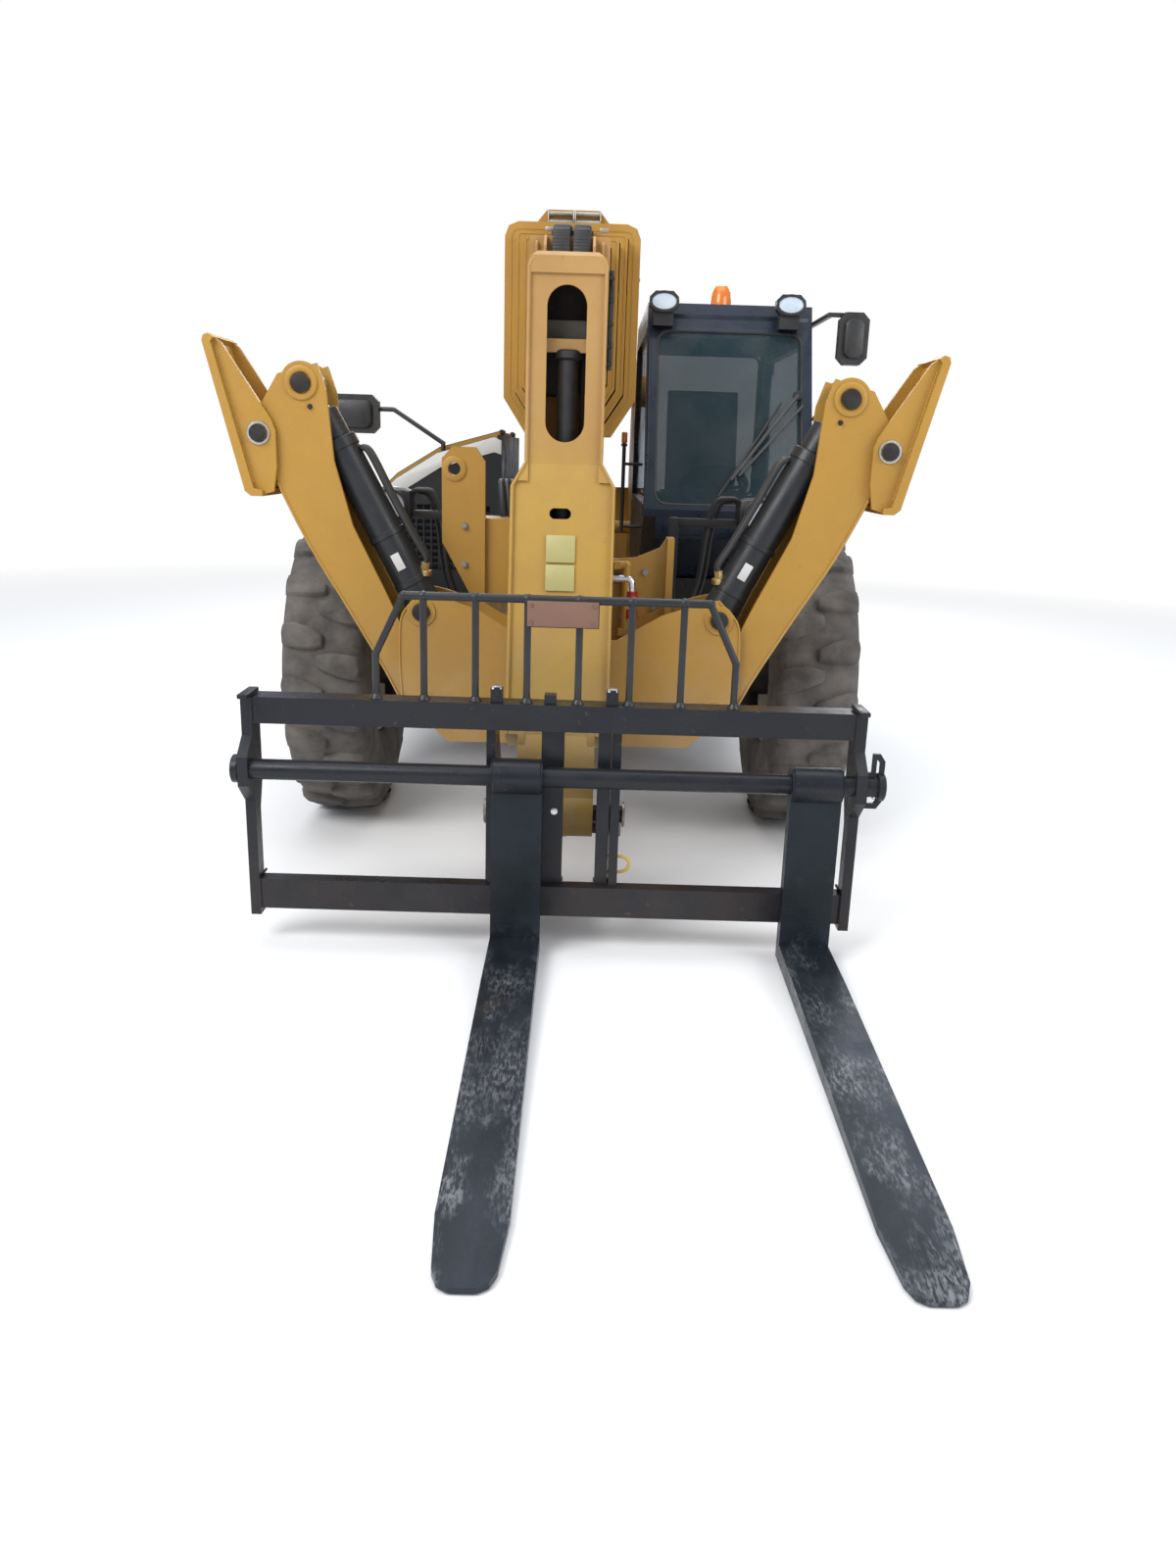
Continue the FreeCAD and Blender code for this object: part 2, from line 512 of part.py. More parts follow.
def boom_pads(name, order, front):
    """Slide pads inside a tube's front end, one on each wall, that carry the next section."""
    outer, inner = f"boom_nest * {order} + boom_wall - 1", f"boom_nest * ({order} + 1) - pad_gap"
    y_low, y_high = f"{front} + 20", f"{front} + 120"
    side = "boom_half"
    return [
        box(f"{name}_top", ("boom_x - 90", y_low, f"boom_top - ({inner})"),
            ("boom_x + 90", y_high, f"boom_top - ({outer})")),
        box(f"{name}_low", ("boom_x - 90", y_low, f"boom_low + {outer}"),
            ("boom_x + 90", y_high, f"boom_low + {inner}")),
        box(f"{name}_right", (f"boom_x - {side} + {outer}", y_low, "2100"),
            (f"boom_x - {side} + {inner}", y_high, "2300")),
        box(f"{name}_left", (f"boom_x + {side} - ({inner})", y_low, "2100"),
            (f"boom_x + {side} - ({outer})", y_high, "2300")),
    ]


def make_boom():
    outer = boom_tube("outer_tube", 0, "boom_front", "boom_rear")
    collar = slab("outer_collar", "Y", boom_outline("-collar_grow"), "boom_front",
                  "boom_front + collar_length",
                  inside=boom_outline("2"))
    cap = slab("hose_cap", "Y", [("boom_x - hose_cap_half", "boom_top + 1"),
                                 ("boom_x + hose_cap_half", "boom_top + 1"),
                                 ("boom_x + hose_cap_half - 60", "hose_cap_top"),
                                 ("boom_x - hose_cap_half + 60", "hose_cap_top")],
               "boom_front + 40", "boom_front + hose_cap_length")
    hub = cylinder("boom_hub", "boom_hub_radius", "chassis_half * 2 - chassis_plate * 2 - 20",
                   ("-chassis_half + chassis_plate + 10", "boom_pivot_y", "boom_pivot_z"), "X")
    bore = cylinder("boom_bore", "boom_pin_radius + pin_gap", "chassis_half * 2",
                    ("-chassis_half", "boom_pivot_y", "boom_pivot_z"), "X")
    lugs = []
    for label, x in (("right", "boom_x - lift_eye_half - 33"), ("left", "boom_x + lift_eye_half + 3")):
        outer_face = f"{x} - 12" if label == "right" else x
        lugs.append(cylinder(f"lift_top_pin_{label}", "lift_pin_radius", "42",
                             (outer_face, "lift_top_y", "lift_top_z"), "X"))
        lugs.append(slab(f"lift_lug_{label}", "X", [
            ("lift_top_y - 160", "boom_low + 5"), ("lift_top_y - 65", "lift_top_z - 60"),
            ("lift_top_y + 65", "lift_top_z - 60"), ("lift_top_y + 160", "boom_low + 5")], x, f"{x} + 30"))
    face = boom_face("outer_face", 0, "boom_front")
    pads = boom_pads("outer_pad", 0, "boom_front")
    whole = fuse("boom_outer_whole", [outer, collar, cap, hub, face] + lugs + pads)
    node("boom_outer", cut("boom_outer", whole, [bore]))
    for order, name in ((1, "boom_second"), (2, "boom_third")):
        front = f"boom_front - boom_step * {order}"
        tube = boom_tube(f"{name}_tube", order, front, f"boom_rear - boom_rear_step - 150 * {order - 1}")
        face = boom_face(f"{name}_face", order, front)
        node(name, fuse(name, [tube, face] + boom_pads(f"{name}_pad", order, front)))


def make_nose():
    tube = boom_tube("inner_tube", 3, "nose_back - 60", "boom_rear - boom_rear_step - 450")
    side = [("nose_back", "boom_low + boom_nest * 3"), ("nose_back", "nose_top + 15"),
            ("nose_face + 20", "nose_top + 15"), ("nose_face", "nose_top"),
            ("nose_face", "nose_flare"), ("tilt_pivot_y + 40", "700"),
            ("tilt_pivot_y - 60", "tilt_pivot_z + 40"),
            ("tilt_pivot_y", "tilt_pivot_z - 60"), ("tilt_pivot_y + 70", "tilt_pivot_z + 20"),
            ("tilt_pivot_y + 68", "tilt_pivot_z + 140"), ("tilt_pivot_y + 88", "tilt_pivot_z + 275"),
            ("-1130", "900"), ("-960", "nose_flare - 40")]
    column = slab("nose_column", "X", side, "boom_x - nose_half", "boom_x + nose_half")
    low = [("nose_face", "nose_flare"), ("tilt_pivot_y + 40", "700"), ("-1230", "620"), ("-1130", "900"),
           ("-960", "nose_flare - 40")]
    low_block = slab("nose_low_block", "X", low, "boom_x - nose_low_half", "boom_x + nose_low_half")
    shoulders = []
    for label, sign in (("right", "-"), ("left", "+")):
        out, edge = f"boom_x {sign} (nose_low_half + 5)", f"boom_x {sign} nose_half"
        shoulders.append(slab(f"nose_shoulder_{label}", "Y", [
            (edge, "nose_flare + 5"), (out, "nose_flare + 5"), (out, "nose_flare - nose_slope")],
            "nose_face - 60", "-900"))
    flare = cut("nose_low", low_block, shoulders)
    hollow = slab("nose_hollow", "X", [
        ("nose_back + 30", "boom_low + boom_nest * 3 + 30"), ("nose_back + 30", "nose_top - 60"),
        ("nose_face + 25", "nose_top - 60"), ("nose_face + 25", "nose_flare"), ("tilt_pivot_y + 75", "760"),
        ("tilt_pivot_y + 42", "650"), ("tilt_pivot_y + 75", "500"), ("tilt_pivot_y + 85", "200"),
        ("-1130", "200"), ("-1130", "700"), ("-1040", "900"), ("-905", "nose_flare - 40")],
        "boom_x - nose_half + nose_wall", "boom_x + nose_half - nose_wall")
    slot = [box("slot_mid", ("boom_x - slot_half", "nose_face - 20", "slot_low + slot_half"),
                ("boom_x + slot_half", "nose_face + 60", "slot_high - slot_half"))]
    for label, z in (("low", "slot_low + slot_half"), ("high", "slot_high - slot_half")):
        slot.append(cylinder(f"slot_{label}", "slot_half", "80", ("boom_x", "nose_face - 20", z), "Y"))
    face = [("nose_face - 25", "nose_top - 55"), ("nose_face + nose_recess", "nose_top - 55"),
            ("nose_face + nose_recess", "nose_flare"), ("tilt_pivot_y + 51 + nose_recess", "760"),
            ("tilt_pivot_y + 20", "760"), ("nose_face - 25", "nose_flare")]
    slot.append(slab("face_recess", "X", face, "boom_x - nose_half + nose_wall",
                     "boom_x + nose_half - nose_wall"))
    low_face = [("nose_face - 30", "nose_flare - 60"), ("nose_face + nose_recess - 11", "nose_flare - 60"),
                ("tilt_pivot_y + 51 + nose_recess", "760"), ("tilt_pivot_y + 20", "760")]
    slot.append(slab("low_recess", "X", low_face, "boom_x - nose_low_half + nose_wall",
                     "boom_x + nose_low_half - nose_wall"))
    slot.append(box("small_slot", ("boom_x - 28", "nose_face - 80", "small_slot_z - small_slot_half"),
                    ("boom_x + 12", "nose_face + 20", "small_slot_z + small_slot_half")))
    for label, x in (("right", "boom_x - 28"), ("left", "boom_x + 12")):
        slot.append(cylinder(f"small_slot_{label}", "small_slot_half", "100",
                             (x, "nose_face - 80", "small_slot_z"), "Y"))
    for label, edge, sign in (("right", "boom_x - nose_half", "+"), ("left", "boom_x + nose_half", "-")):
        corner = [(edge, "nose_top - nose_round"), (edge, "nose_top + 40"),
                  (f"{edge} {sign} nose_round", "nose_top + 40"),
                  (f"{edge} {sign} nose_round", "nose_top + 15"),
                  (f"{edge} {sign} nose_round * 0.3", "nose_top - 6")]
        slot.append(slab(f"nose_corner_{label}", "Y", corner, "nose_face - 50", "nose_back + 1"))
    eye = cylinder("tilt_eye", "tilt_eye_radius", "nose_half * 2",
                   ("boom_x - nose_half", "tilt_pivot_y", "tilt_pivot_z"), "X")
    bore = cylinder("tilt_bore", "tilt_pin_radius + pin_gap", "nose_half * 3",
                    ("boom_x - nose_half * 1.5", "tilt_pivot_y", "tilt_pivot_z"), "X")
    bar = box("slot_bar", ("boom_x - nose_half + 5", "nose_face + 70", "slot_bar_low"),
              ("boom_x + nose_half - 5", "nose_face + 105", "slot_bar_high"))
    back = slab("nose_back_wall", "X", [("-959", "1620"), ("-945", "1620"), ("nose_back + 14", "1890"),
                                        ("nose_back", "1890")], "boom_x - nose_half + 5", "boom_x + nose_half - 5")
    head = box("nose_head_wall", ("boom_x - nose_half - 3", "nose_back - 60", "nose_top - 20"),
               ("boom_x + nose_half + 3", "nose_back - 46", "boom_top - boom_nest * 3 - 2"))
    pin = cylinder("tilt_top_pin", "lever_pin_radius", "nose_half * 2 - 10",
                   ("boom_x - nose_half + 5", "tilt_top_y", "tilt_top_z"), "X")
    shell = cut("nose_shell", fuse("nose_whole", [tube, column, flare, eye]), [hollow, bore] + slot)
    node("boom_nose", fuse("boom_nose", [shell, bar, pin, back, head]))


# Rams: a barrel from its low pin and a rod whose eye is at the other pin
def ram(name, low, high, radius, rod_radius, barrel_length, eye_radius, eye_axis, eye_width, pin_radius,
        rod_length=None):
    """Both ends of a ram as a pair of nodes, barrel first, with the barrel at the low end."""
    start = {"X": (f"({low[0]}) - ({eye_width}) / 2", low[1], low[2]),
             "Y": (low[0], f"({low[1]}) - ({eye_width}) / 2", low[2])}[eye_axis]
    finish = {"X": (f"({high[0]}) - ({eye_width}) / 2", high[1], high[2]),
              "Y": (high[0], f"({high[1]}) - ({eye_width}) / 2", high[2])}[eye_axis]
    barrel = fuse(f"{name}_barrel_whole", [
        strut(f"{name}_tube", radius, low, high, barrel_length),
        cylinder(f"{name}_low_eye", eye_radius, eye_width, start, eye_axis)])
    bore = strut(f"{name}_rod_bore", f"({rod_radius}) + pin_gap", low, high, f"({barrel_length}) + 20")
    along = "XYZ".index(eye_axis)
    reach = "sqrt(" + " + ".join(f"(({high[i]}) - ({low[i]})) ^ 2" for i in range(3)) + ")"
    wide = [f"({low[i]}) - 150" if i == along else low[i] for i in range(3)]
    low_hole = cylinder(f"{name}_low_hole", f"({pin_radius}) + pin_gap", "300", wide, eye_axis)
    solid_foot = strut(f"{name}_foot", radius, low, high, "130")
    bored = cut(f"{name}_bored", barrel, [bore])
    barrel_node = cut(f"{name}_barrel", fuse(f"{name}_footed", [bored, solid_foot]), [low_hole])
    rod = fuse(f"{name}_rod_whole", [
        strut(f"{name}_shaft", rod_radius, high, low, rod_length or f"{reach} - 150"),
        cylinder(f"{name}_high_eye", eye_radius, eye_width, finish, eye_axis)])
    high_hole = cylinder(f"{name}_high_hole", f"({pin_radius}) + pin_gap", f"({eye_width}) + 4",
                         finish, eye_axis)
    return barrel_node, cut(f"{name}_rod", rod, [high_hole])


def make_rams():
    middle = "stab_front + stab_depth / 2"
    barrel, rod = ram("stab_ram", ("ram_low_x", middle, "ram_low_z"), ("ram_top_x", middle, "ram_top_z"),
                      "ram_radius", "ram_rod_radius", "ram_length", "ram_eye", "Y",
                      "ram_eye_half * 2", "leg_pin_radius")
    node("stab_barrel_left", barrel)
    node("stab_rod_left", rod)
    node("stab_barrel_right", mirror("stab_barrel_right", barrel))
    node("stab_rod_right", mirror("stab_rod_right", rod))
    barrel, rod = ram("lift_ram", ("boom_x", "lift_low_y", "lift_low_z"),
                      ("boom_x", "lift_top_y", "lift_top_z"),
                      "lift_radius", "lift_rod_radius", "lift_length", "lift_eye", "X",
                      "lift_eye_half * 2", "lift_pin_radius")
    node("lift_barrel", barrel)
    node("lift_rod", rod)
    barrel, rod = ram("tilt_ram", ("boom_x", "tilt_top_y", "tilt_top_z"), ("boom_x", "lever_y", "lever_z"),
                      "tilt_radius", "tilt_rod_radius", "tilt_length", "tilt_rod_eye", "X",
                      "tilt_eye_half * 2", "lever_pin_radius", "tilt_rod_length")
    node("tilt_barrel", barrel)
    node("tilt_rod", rod)


# Stabiliser legs and feet
def make_stabilisers():
    front, rear = "stab_front", "stab_rear"
    outer = [("leg_pivot_x + 75", "leg_pivot_z - 20"), ("708", "840"), ("786", "975"), ("884", "1142"),
             ("958", "1262"), ("1034", "1402"), ("1106", "1560"), ("foot_pin_x + 55", "foot_pin_z - 20"),
             ("foot_pin_x + 20", "foot_pin_z + 60"), ("ram_top_x + 85", "ram_top_z + 30")]
    inner = [("ram_top_x - 60", "ram_top_z + 70"), ("ram_top_x - 90", "ram_top_z - 20"), ("892", "1635"),
             ("828", "1400"), ("704", "1147"), ("620", "960"), ("510", "790"),
             ("leg_pivot_x - 75", "leg_pivot_z")]
    whole = slab("leg_block", "Y", outer + inner, front, rear)
    lobes = [cylinder("leg_lobe_top", "leg_lobe", "stab_depth", ("ram_top_x", front, "ram_top_z"), "Y"),
             cylinder("leg_lobe_foot", "62", "stab_depth", ("foot_pin_x", front, "foot_pin_z"), "Y"),
             cylinder("leg_lobe_low", "78", "stab_depth", ("leg_pivot_x", front, "leg_pivot_z"), "Y")]
    hollow = slab("leg_hollow", "Y", [
        ("855", "1130"), ("936", "1262"), ("1012", "1402"), ("1072", "1540"), ("1090", "1700"),
        ("1085", "1800"), ("1120", "2010"), ("850", "2010"), ("560", "1130")],
        f"{front} + stab_wall", f"{rear} - stab_wall")
    low_gap = slab("leg_low_gap", "Y", [("430", "1131"), ("856", "1131"), ("700", "985"), ("650", "1000"),
                                        ("560", "900")], f"{front} + stab_wall", f"{rear} - stab_wall")
    bores = [cylinder("leg_bore_low", "leg_pin_radius + pin_gap", "stab_depth + 20",
                      ("leg_pivot_x", f"{front} - 10", "leg_pivot_z"), "Y")]
    # The rod's eye has room between two stub pins, because its joints let it drift a little
    stub = "stab_depth / 2 - ram_eye_half - 2"
    pins = [cylinder("leg_top_pin_front", "leg_pin_radius", f"{stub} + 12",
                     ("ram_top_x", f"{front} - 12", "ram_top_z"), "Y"),
            cylinder("leg_top_pin_rear", "leg_pin_radius", f"{stub} + 12",
                     ("ram_top_x", f"{rear} - ({stub})", "ram_top_z"), "Y"),
            cylinder("leg_foot_pin", "foot_pin_radius", "stab_depth + 80",
                     ("foot_pin_x", f"{front} - 40", "foot_pin_z"), "Y")]
    shell = cut("leg_open", fuse("leg_whole", [whole] + lobes), [hollow, low_gap] + bores)
    leg = fuse("leg_left", [shell] + pins)
    node("leg_left", leg)
    node("leg_right", mirror("leg_right", leg))
    sole = [("1300", "2052"), ("1318", "2064"), ("1336", "2058"), ("1342", "2038"), ("1214", "1520"),
            ("1192", "1502"), ("1150", "1502"), ("1150", "1524"), ("1182", "1530"), ("1312", "2036")]
    plate = slab("foot_sole", "Y", sole, "stab_front + stab_depth / 2 - foot_half",
                 "stab_front + stab_depth / 2 + foot_half")
    cheek = [("1322", "2036"), ("1302", "2050"), ("1281", "2036"), ("1163", "1854"), ("1113", "1775"),
             ("1099", "1736"), ("1099", "1609"), ("1113", "1520"), ("1150", "1510"), ("1200", "1524")]
    cheeks = []
    for label, low in (("front", "stab_front - 25"), ("rear", "stab_rear + 7")):
        cheeks.append(slab(f"foot_cheek_{label}", "Y", cheek, low, f"{low} + foot_cheek",
                           holes=[("foot_pin_x", "foot_pin_z", "foot_pin_radius + pin_gap")]))
    relief = cylinder("foot_relief", "74", "stab_depth + 14",
                      ("foot_pin_x", f"{front} - 7", "foot_pin_z"), "Y")
    foot = fuse("foot_left", [cut("foot_plate", plate, [relief])] + cheeks)
    node("foot_left", foot)
    node("foot_right", mirror("foot_right", foot))


# Fork carriage
def make_carriage():
    face, low_x, high_x = "carriage_face", "boom_x - carriage_half", "boom_x + carriage_half"
    plate = [(f"{face} + rail_depth", "top_rail_high"), (face, "top_rail_high"), (face, "shaft_z + 110"),
             ("shaft_y - 45", "shaft_z + 50"), ("shaft_y - 45", "shaft_z - 50"), (face, "shaft_z - 120"),
             (face, "low_rail_low - 25"), (f"{face} + 60", "low_rail_low - 25"),
             (f"{face} + 60", "shaft_z - 160"),
             (f"{face} + rail_depth", "shaft_z - 60")]
    pieces = [
        box("top_rail", (low_x, face, "top_rail_low"), (high_x, f"{face} + rail_depth", "top_rail_high")),
        box("low_rail", (low_x, face, "low_rail_low"), (high_x, f"{face} + 60", "low_rail_high")),
        slab("end_plate_right", "X", plate, low_x, f"{low_x} + end_plate"),
        slab("end_plate_left", "X", plate, f"{high_x} - end_plate", high_x),
        box("centre_post", ("-77", f"{face} + 38", "low_rail_high - 5"),
            ("0", f"{face} + 95", "top_rail_low + 5")),
        box("thin_post", ("116", f"{face} + 38", "low_rail_high - 5"),
            ("160", f"{face} + 95", "top_rail_low + 5")),
        cylinder("shaft", "shaft_radius", "carriage_half * 2 + shaft_over",
                 (f"{low_x} - 5", "shaft_y", "shaft_z"), "X"),
        cylinder("tilt_pin", "tilt_pin_radius", "nose_low_half * 2 + 120",
                 ("boom_x - nose_low_half - 60", "tilt_pivot_y", "tilt_pivot_z"), "X"),
        cylinder("lever_pin_right", "lever_pin_radius", "nose_low_half + 5",
                 ("boom_x - nose_low_half - 55", "lever_y", "lever_z"), "X"),
        cylinder("lever_pin_left", "lever_pin_radius", "nose_low_half + 5",
                 ("boom_x + tilt_eye_half + 5", "lever_y", "lever_z"), "X"),
    ]
    for label, x, tall in (("right", "-250", "48"), ("middle", "-70", "32"), ("left", "137", "48")):
        pieces.append(box(f"rail_stop_{label}", (x, f"{face} + 15", "top_rail_high - 2"),
                          (f"{x} + 40", f"{face} + 60", f"top_rail_high + {tall}")))
    loop = [(f"{high_x} - 5", "565"), (f"{high_x} + 45", "565"), (f"{high_x} + 62", "590"),
            (f"{high_x} + 62", "730"),
            (f"{high_x} + 45", "755"), (f"{high_x} + 20", "755"), (f"{high_x} + 20", "690"),
            (f"{high_x} - 5", "690")]
    pieces.append(slab("lock_loop", "Y", loop, "shaft_y - 7", "shaft_y + 7", inside=[
        (f"{high_x} + 12", "583"), (f"{high_x} + 36", "583"), (f"{high_x} + 46", "600"),
        (f"{high_x} + 46", "722"),
        (f"{high_x} + 36", "735"), (f"{high_x} + 34", "735"), (f"{high_x} + 34", "675"),
        (f"{high_x} + 12", "675")]))
    lug = [(f"{face} + 50", "top_rail_high - 20"), (f"{face} + 20", "low_rail_low + 10"),
           ("lever_y - 30", "lever_z - 75"), ("lever_y + 60", "lever_z - 45"),
           ("lever_y + 60", "lever_z + 50"),
           ("tilt_pivot_y + 100", "tilt_pivot_z + 100"), (f"{face} + 150", "top_rail_high - 40")]
    for label, x in (("right", "boom_x - nose_low_half - 42"), ("left", "boom_x + nose_low_half + 12")):
        pieces.append(slab(f"lug_{label}", "X", lug, x, f"{x} + 30"))
    node("carriage", fuse("carriage", pieces))


def make_guard():
    left, right = "boom_x + guard_half", "boom_x - guard_half"
    lean = "guard_lean"
    y, foot = "guard_y", "top_rail_high + seat_gap"
    rail = [((right, y, foot), (right, y, "guard_knee")),
            ((right, y, "guard_knee"), (f"{right} + {lean}", y, "guard_top")),
            ((left, y, foot), (left, y, "guard_knee")),
            ((left, y, "guard_knee"), (f"{left} - {lean}", y, "guard_top"))]
    bars = []
    for number, (start, finish) in enumerate(rail):
        bars.append(guard_bar(f"guard_leg_{number}", start, finish, 1 + 2 * (number % 2)))
    bars.append(cylinder("guard_top_bar", "guard_bar + 2", f"guard_half * 2 - 2 * {lean}",
                         (f"{right} + {lean}", y, "guard_top"), "X"))
    for number in range(6):
        x = f"boom_x - 440 + {number} * guard_pitch"
        bars.append(cylinder(f"guard_upright_{number}", "guard_bar", f"guard_top - ({foot})",
                             (x, y, foot), "Z"))
    bars.append(box("guard_plate", ("boom_x - 100", "guard_y - 16", "guard_top - 90"),
                    ("boom_x + 140", "guard_y - 8", "guard_top")))
    # Refining joins this one's round faces into an invalid shape
    node("load_guard", fuse("load_guard", bars, refine=False))


def guard_bar(name, start, finish, swell):
    """An upright, or a bar that leans across the machine, with a slightly swollen weld at its upper end."""
    ball = doc.addObject("Part::Sphere", name + "_ball")
    bind(ball, "Radius", f"guard_bar + {swell}")
    put(ball, finish)
    if start[0] == finish[0]:
        bar = cylinder(name + "_bar", "guard_bar", f"({finish[2]}) - ({start[2]})", start, "Z")
    else:
        bar = strut(name + "_bar", "guard_bar", start, finish)
    return fuse(name, [bar, ball])


def make_forks():
    for label, x in (("right", "fork_right_x"), ("left", "fork_left_x")):
        shank = box(f"shank_{label}", (f"{x} - fork_width / 2", "shank_y", "fork_foot"),
                    (f"{x} + fork_width / 2", "carriage_face - fork_gap", "shaft_z"))
        eye = cylinder(f"fork_eye_{label}", "fork_eye_radius", "fork_width",
                       (f"{x} - fork_width / 2", "shaft_y", "shaft_z"), "X")
        tip = "-fork_reach"
        blade = slab(f"blade_{label}", "Z", [
            (f"{x} - fork_width / 2", "shank_y + 5"), (f"{x} - fork_width / 2", f"{tip} + 230"),
            (f"{x} - fork_width / 2 + 15", f"{tip} + 55"), (f"{x} - fork_width / 2 + 30", f"{tip} + 16"),
            (f"{x} - fork_width / 2 + 55", tip), (f"{x} + fork_width / 2 - 55", tip),
            (f"{x} + fork_width / 2 - 30", f"{tip} + 16"), (f"{x} + fork_width / 2 - 15", f"{tip} + 55"),
            (f"{x} + fork_width / 2", f"{tip} + 230"), (f"{x} + fork_width / 2", "shank_y + 5")],
            "fork_foot", "fork_foot + fork_thick")
        wedge = slab(f"blade_wedge_{label}", "X", [
            ("shank_y - 300", "fork_foot + fork_thick"), (f"{tip} - 10", "fork_foot + fork_tip_thick"),
            (f"{tip} - 10", "fork_foot + fork_thick + 20"),
            ("shank_y - 300", "fork_foot + fork_thick + 20")],
            f"{x} - fork_width", f"{x} + fork_width")
        bore = cylinder(f"fork_bore_{label}", "shaft_radius + 1", "fork_width + 20",
                        (f"{x} - fork_width / 2 - 10", "shaft_y", "shaft_z"), "X")
        whole = fuse(f"fork_whole_{label}", [shank, eye, blade])
        node(f"fork_{label}", cut(f"fork_{label}", whole, [wedge, bore]))


# Cab
def make_cab():
    wall = "cab_wall"
    outline = [("cab_toe", "cab_floor"), ("cab_nose", "cab_sill - 35"), ("cab_nose", "cab_sill"),
               ("cab_front + 20", "cab_roof - 120"), ("cab_front + 70", "cab_roof"),
               ("cab_rear - 80", "cab_roof"),
               ("cab_rear", "cab_roof - 120"), ("cab_rear", "cab_floor")]
    inside = [("cab_toe + 15", f"cab_floor + {wall}"), ("cab_nose + 44", "cab_sill - 12"),
              (f"cab_front + 20 + {wall}", "cab_roof - 130"),
              (f"cab_front + 80 + {wall}", f"cab_roof - {wall}"),
              (f"cab_rear - 90 - {wall}", f"cab_roof - {wall}"), (f"cab_rear - {wall}", "cab_roof - 135"),
              (f"cab_rear - {wall}", f"cab_floor + {wall}")]
    shell = slab("cab_block", "X", outline, "cab_in", "cab_out")
    room = slab("cab_room", "X", inside, f"cab_in + {wall}", f"cab_out - {wall}")
    window_top, window_low = "cab_roof - 135", "cab_sill + 20"
    side_pane = [(f"{screen_y(window_low)} + 60", window_low), (f"{screen_y(window_top)} + 60", window_top),
                 ("cab_rear - 90", window_top), ("cab_rear - 90", window_low)]
    front_hole = [(f"{screen_y(window_low)} - 60", window_low),
                  (f"{screen_y(window_low)} + 90", window_low),
                  (f"{screen_y(window_top)} + 90", window_top),
                  (f"{screen_y(window_top)} - 60", window_top)]
    windows = [
        slab("front_window", "X", front_hole, "cab_in + 50", "cab_out - 50"),
        box("rear_window", ("cab_in + 60", "cab_rear - 80", window_low),
            ("cab_out - 60", "cab_rear + 20", window_top)),
        slab("side_window", "X", side_pane, "cab_in - 10", f"cab_in + {wall} + 10"),
        box("roof_window", ("cab_in + 100", "cab_front + 190", "cab_roof - 80"),
            ("cab_out - 100", "cab_rear - 500", "cab_roof + 20")),
        slab("door_hole", "X", door_outline("0"), f"cab_out - {wall} - 10", "cab_out + 10"),
    ]
    hinge_y, hinge_x = "cab_rear - 91", "cab_out + 12"
    leaves = []
    for number, z in enumerate(("cab_floor + 150", "cab_roof - 250")):
        leaves.append(cylinder(f"hinge_low_{number}", "door_hinge_radius", "door_hinge_length",
                               (hinge_x, hinge_y, z), "Z"))
        leaves.append(box(f"hinge_leaf_{number}", ("cab_out - 1", f"{hinge_y}", z),
                          ("cab_out + 6", f"{hinge_y} + 70", f"{z} + door_hinge_length")))
    node("cab_shell", fuse("cab_shell", [cut("cab_open", shell, [room] + windows)] + leaves))
    panel = slab("door_panel", "X", door_outline("door_gap"), f"cab_out - {wall}", "cab_out")
    pane_low, pane_high = "cab_sill - 150", "cab_roof - 190"
    pane = [("cab_toe - 80", pane_low), (f"{screen_y('cab_sill + 10')} + 210", "cab_sill + 10"),
            (f"{screen_y(pane_high)} + 165", pane_high), ("cab_rear - 170", pane_high),
            ("cab_rear - 170", pane_low)]
    opening = slab("door_window", "X", pane, f"cab_out - {wall} - 10", "cab_out + 10")
    leaves = []
    for number, low in enumerate(("cab_floor + 150", "cab_roof - 250")):
        z = f"{low} + door_hinge_length + pin_gap"
        leaves.append(cylinder(f"door_hinge_{number}", "door_hinge_radius", "door_hinge_length",
                               (hinge_x, hinge_y, z), "Z"))
        leaves.append(box(f"door_leaf_{number}", ("cab_out + 1", f"{hinge_y} - 70", z),
                          ("cab_out + 6", hinge_y, f"{z} + door_hinge_length")))
        leaves.append(box(f"door_foot_{number}", ("cab_out - 1", f"{hinge_y} - 70", z),
                          ("cab_out + 6", f"{hinge_y} - 20", f"{z} + door_hinge_length")))
    node("cab_door", fuse("cab_door", [cut("door_open", panel, [opening])] + leaves))
    middle = f"cab_out - {wall} / 2"
    node("door_glass", slab("door_glass", "X", pane, f"{middle} - glass / 2", f"{middle} + glass / 2"))
    middle = f"cab_in + {wall} / 2"
    side = slab("side_pane", "X", side_pane, f"{middle} - glass / 2", f"{middle} + glass / 2")
    slope = [(f"{screen_y(window_low)} + 12", window_low),
             (f"{screen_y(window_low)} + 12 + glass", window_low),
             (f"{screen_y(window_top)} + 12 + glass", window_top),
             (f"{screen_y(window_top)} + 12", window_top)]
    screen = slab("windscreen", "X", slope, "cab_in + 50", "cab_out - 50")
    rear = box("rear_pane", ("cab_in + 60", "cab_rear - 30", window_low),
               ("cab_out - 60", "cab_rear - 30 + glass", window_top))
    roof = box("roof_pane", ("cab_in + 100", "cab_front + 190", "cab_roof - 30"),
               ("cab_out - 100", "cab_rear - 500", "cab_roof - 30 + glass"))
    node("cab_glass", fuse("cab_glass", [side, screen, rear, roof]))


def screen_y(level):
    """How far along the machine the cab's raked front stands at a level."""
    return f"(cab_nose + (({level}) - cab_sill) * (cab_front + 20 - cab_nose) / (cab_roof - 120 - cab_sill))"


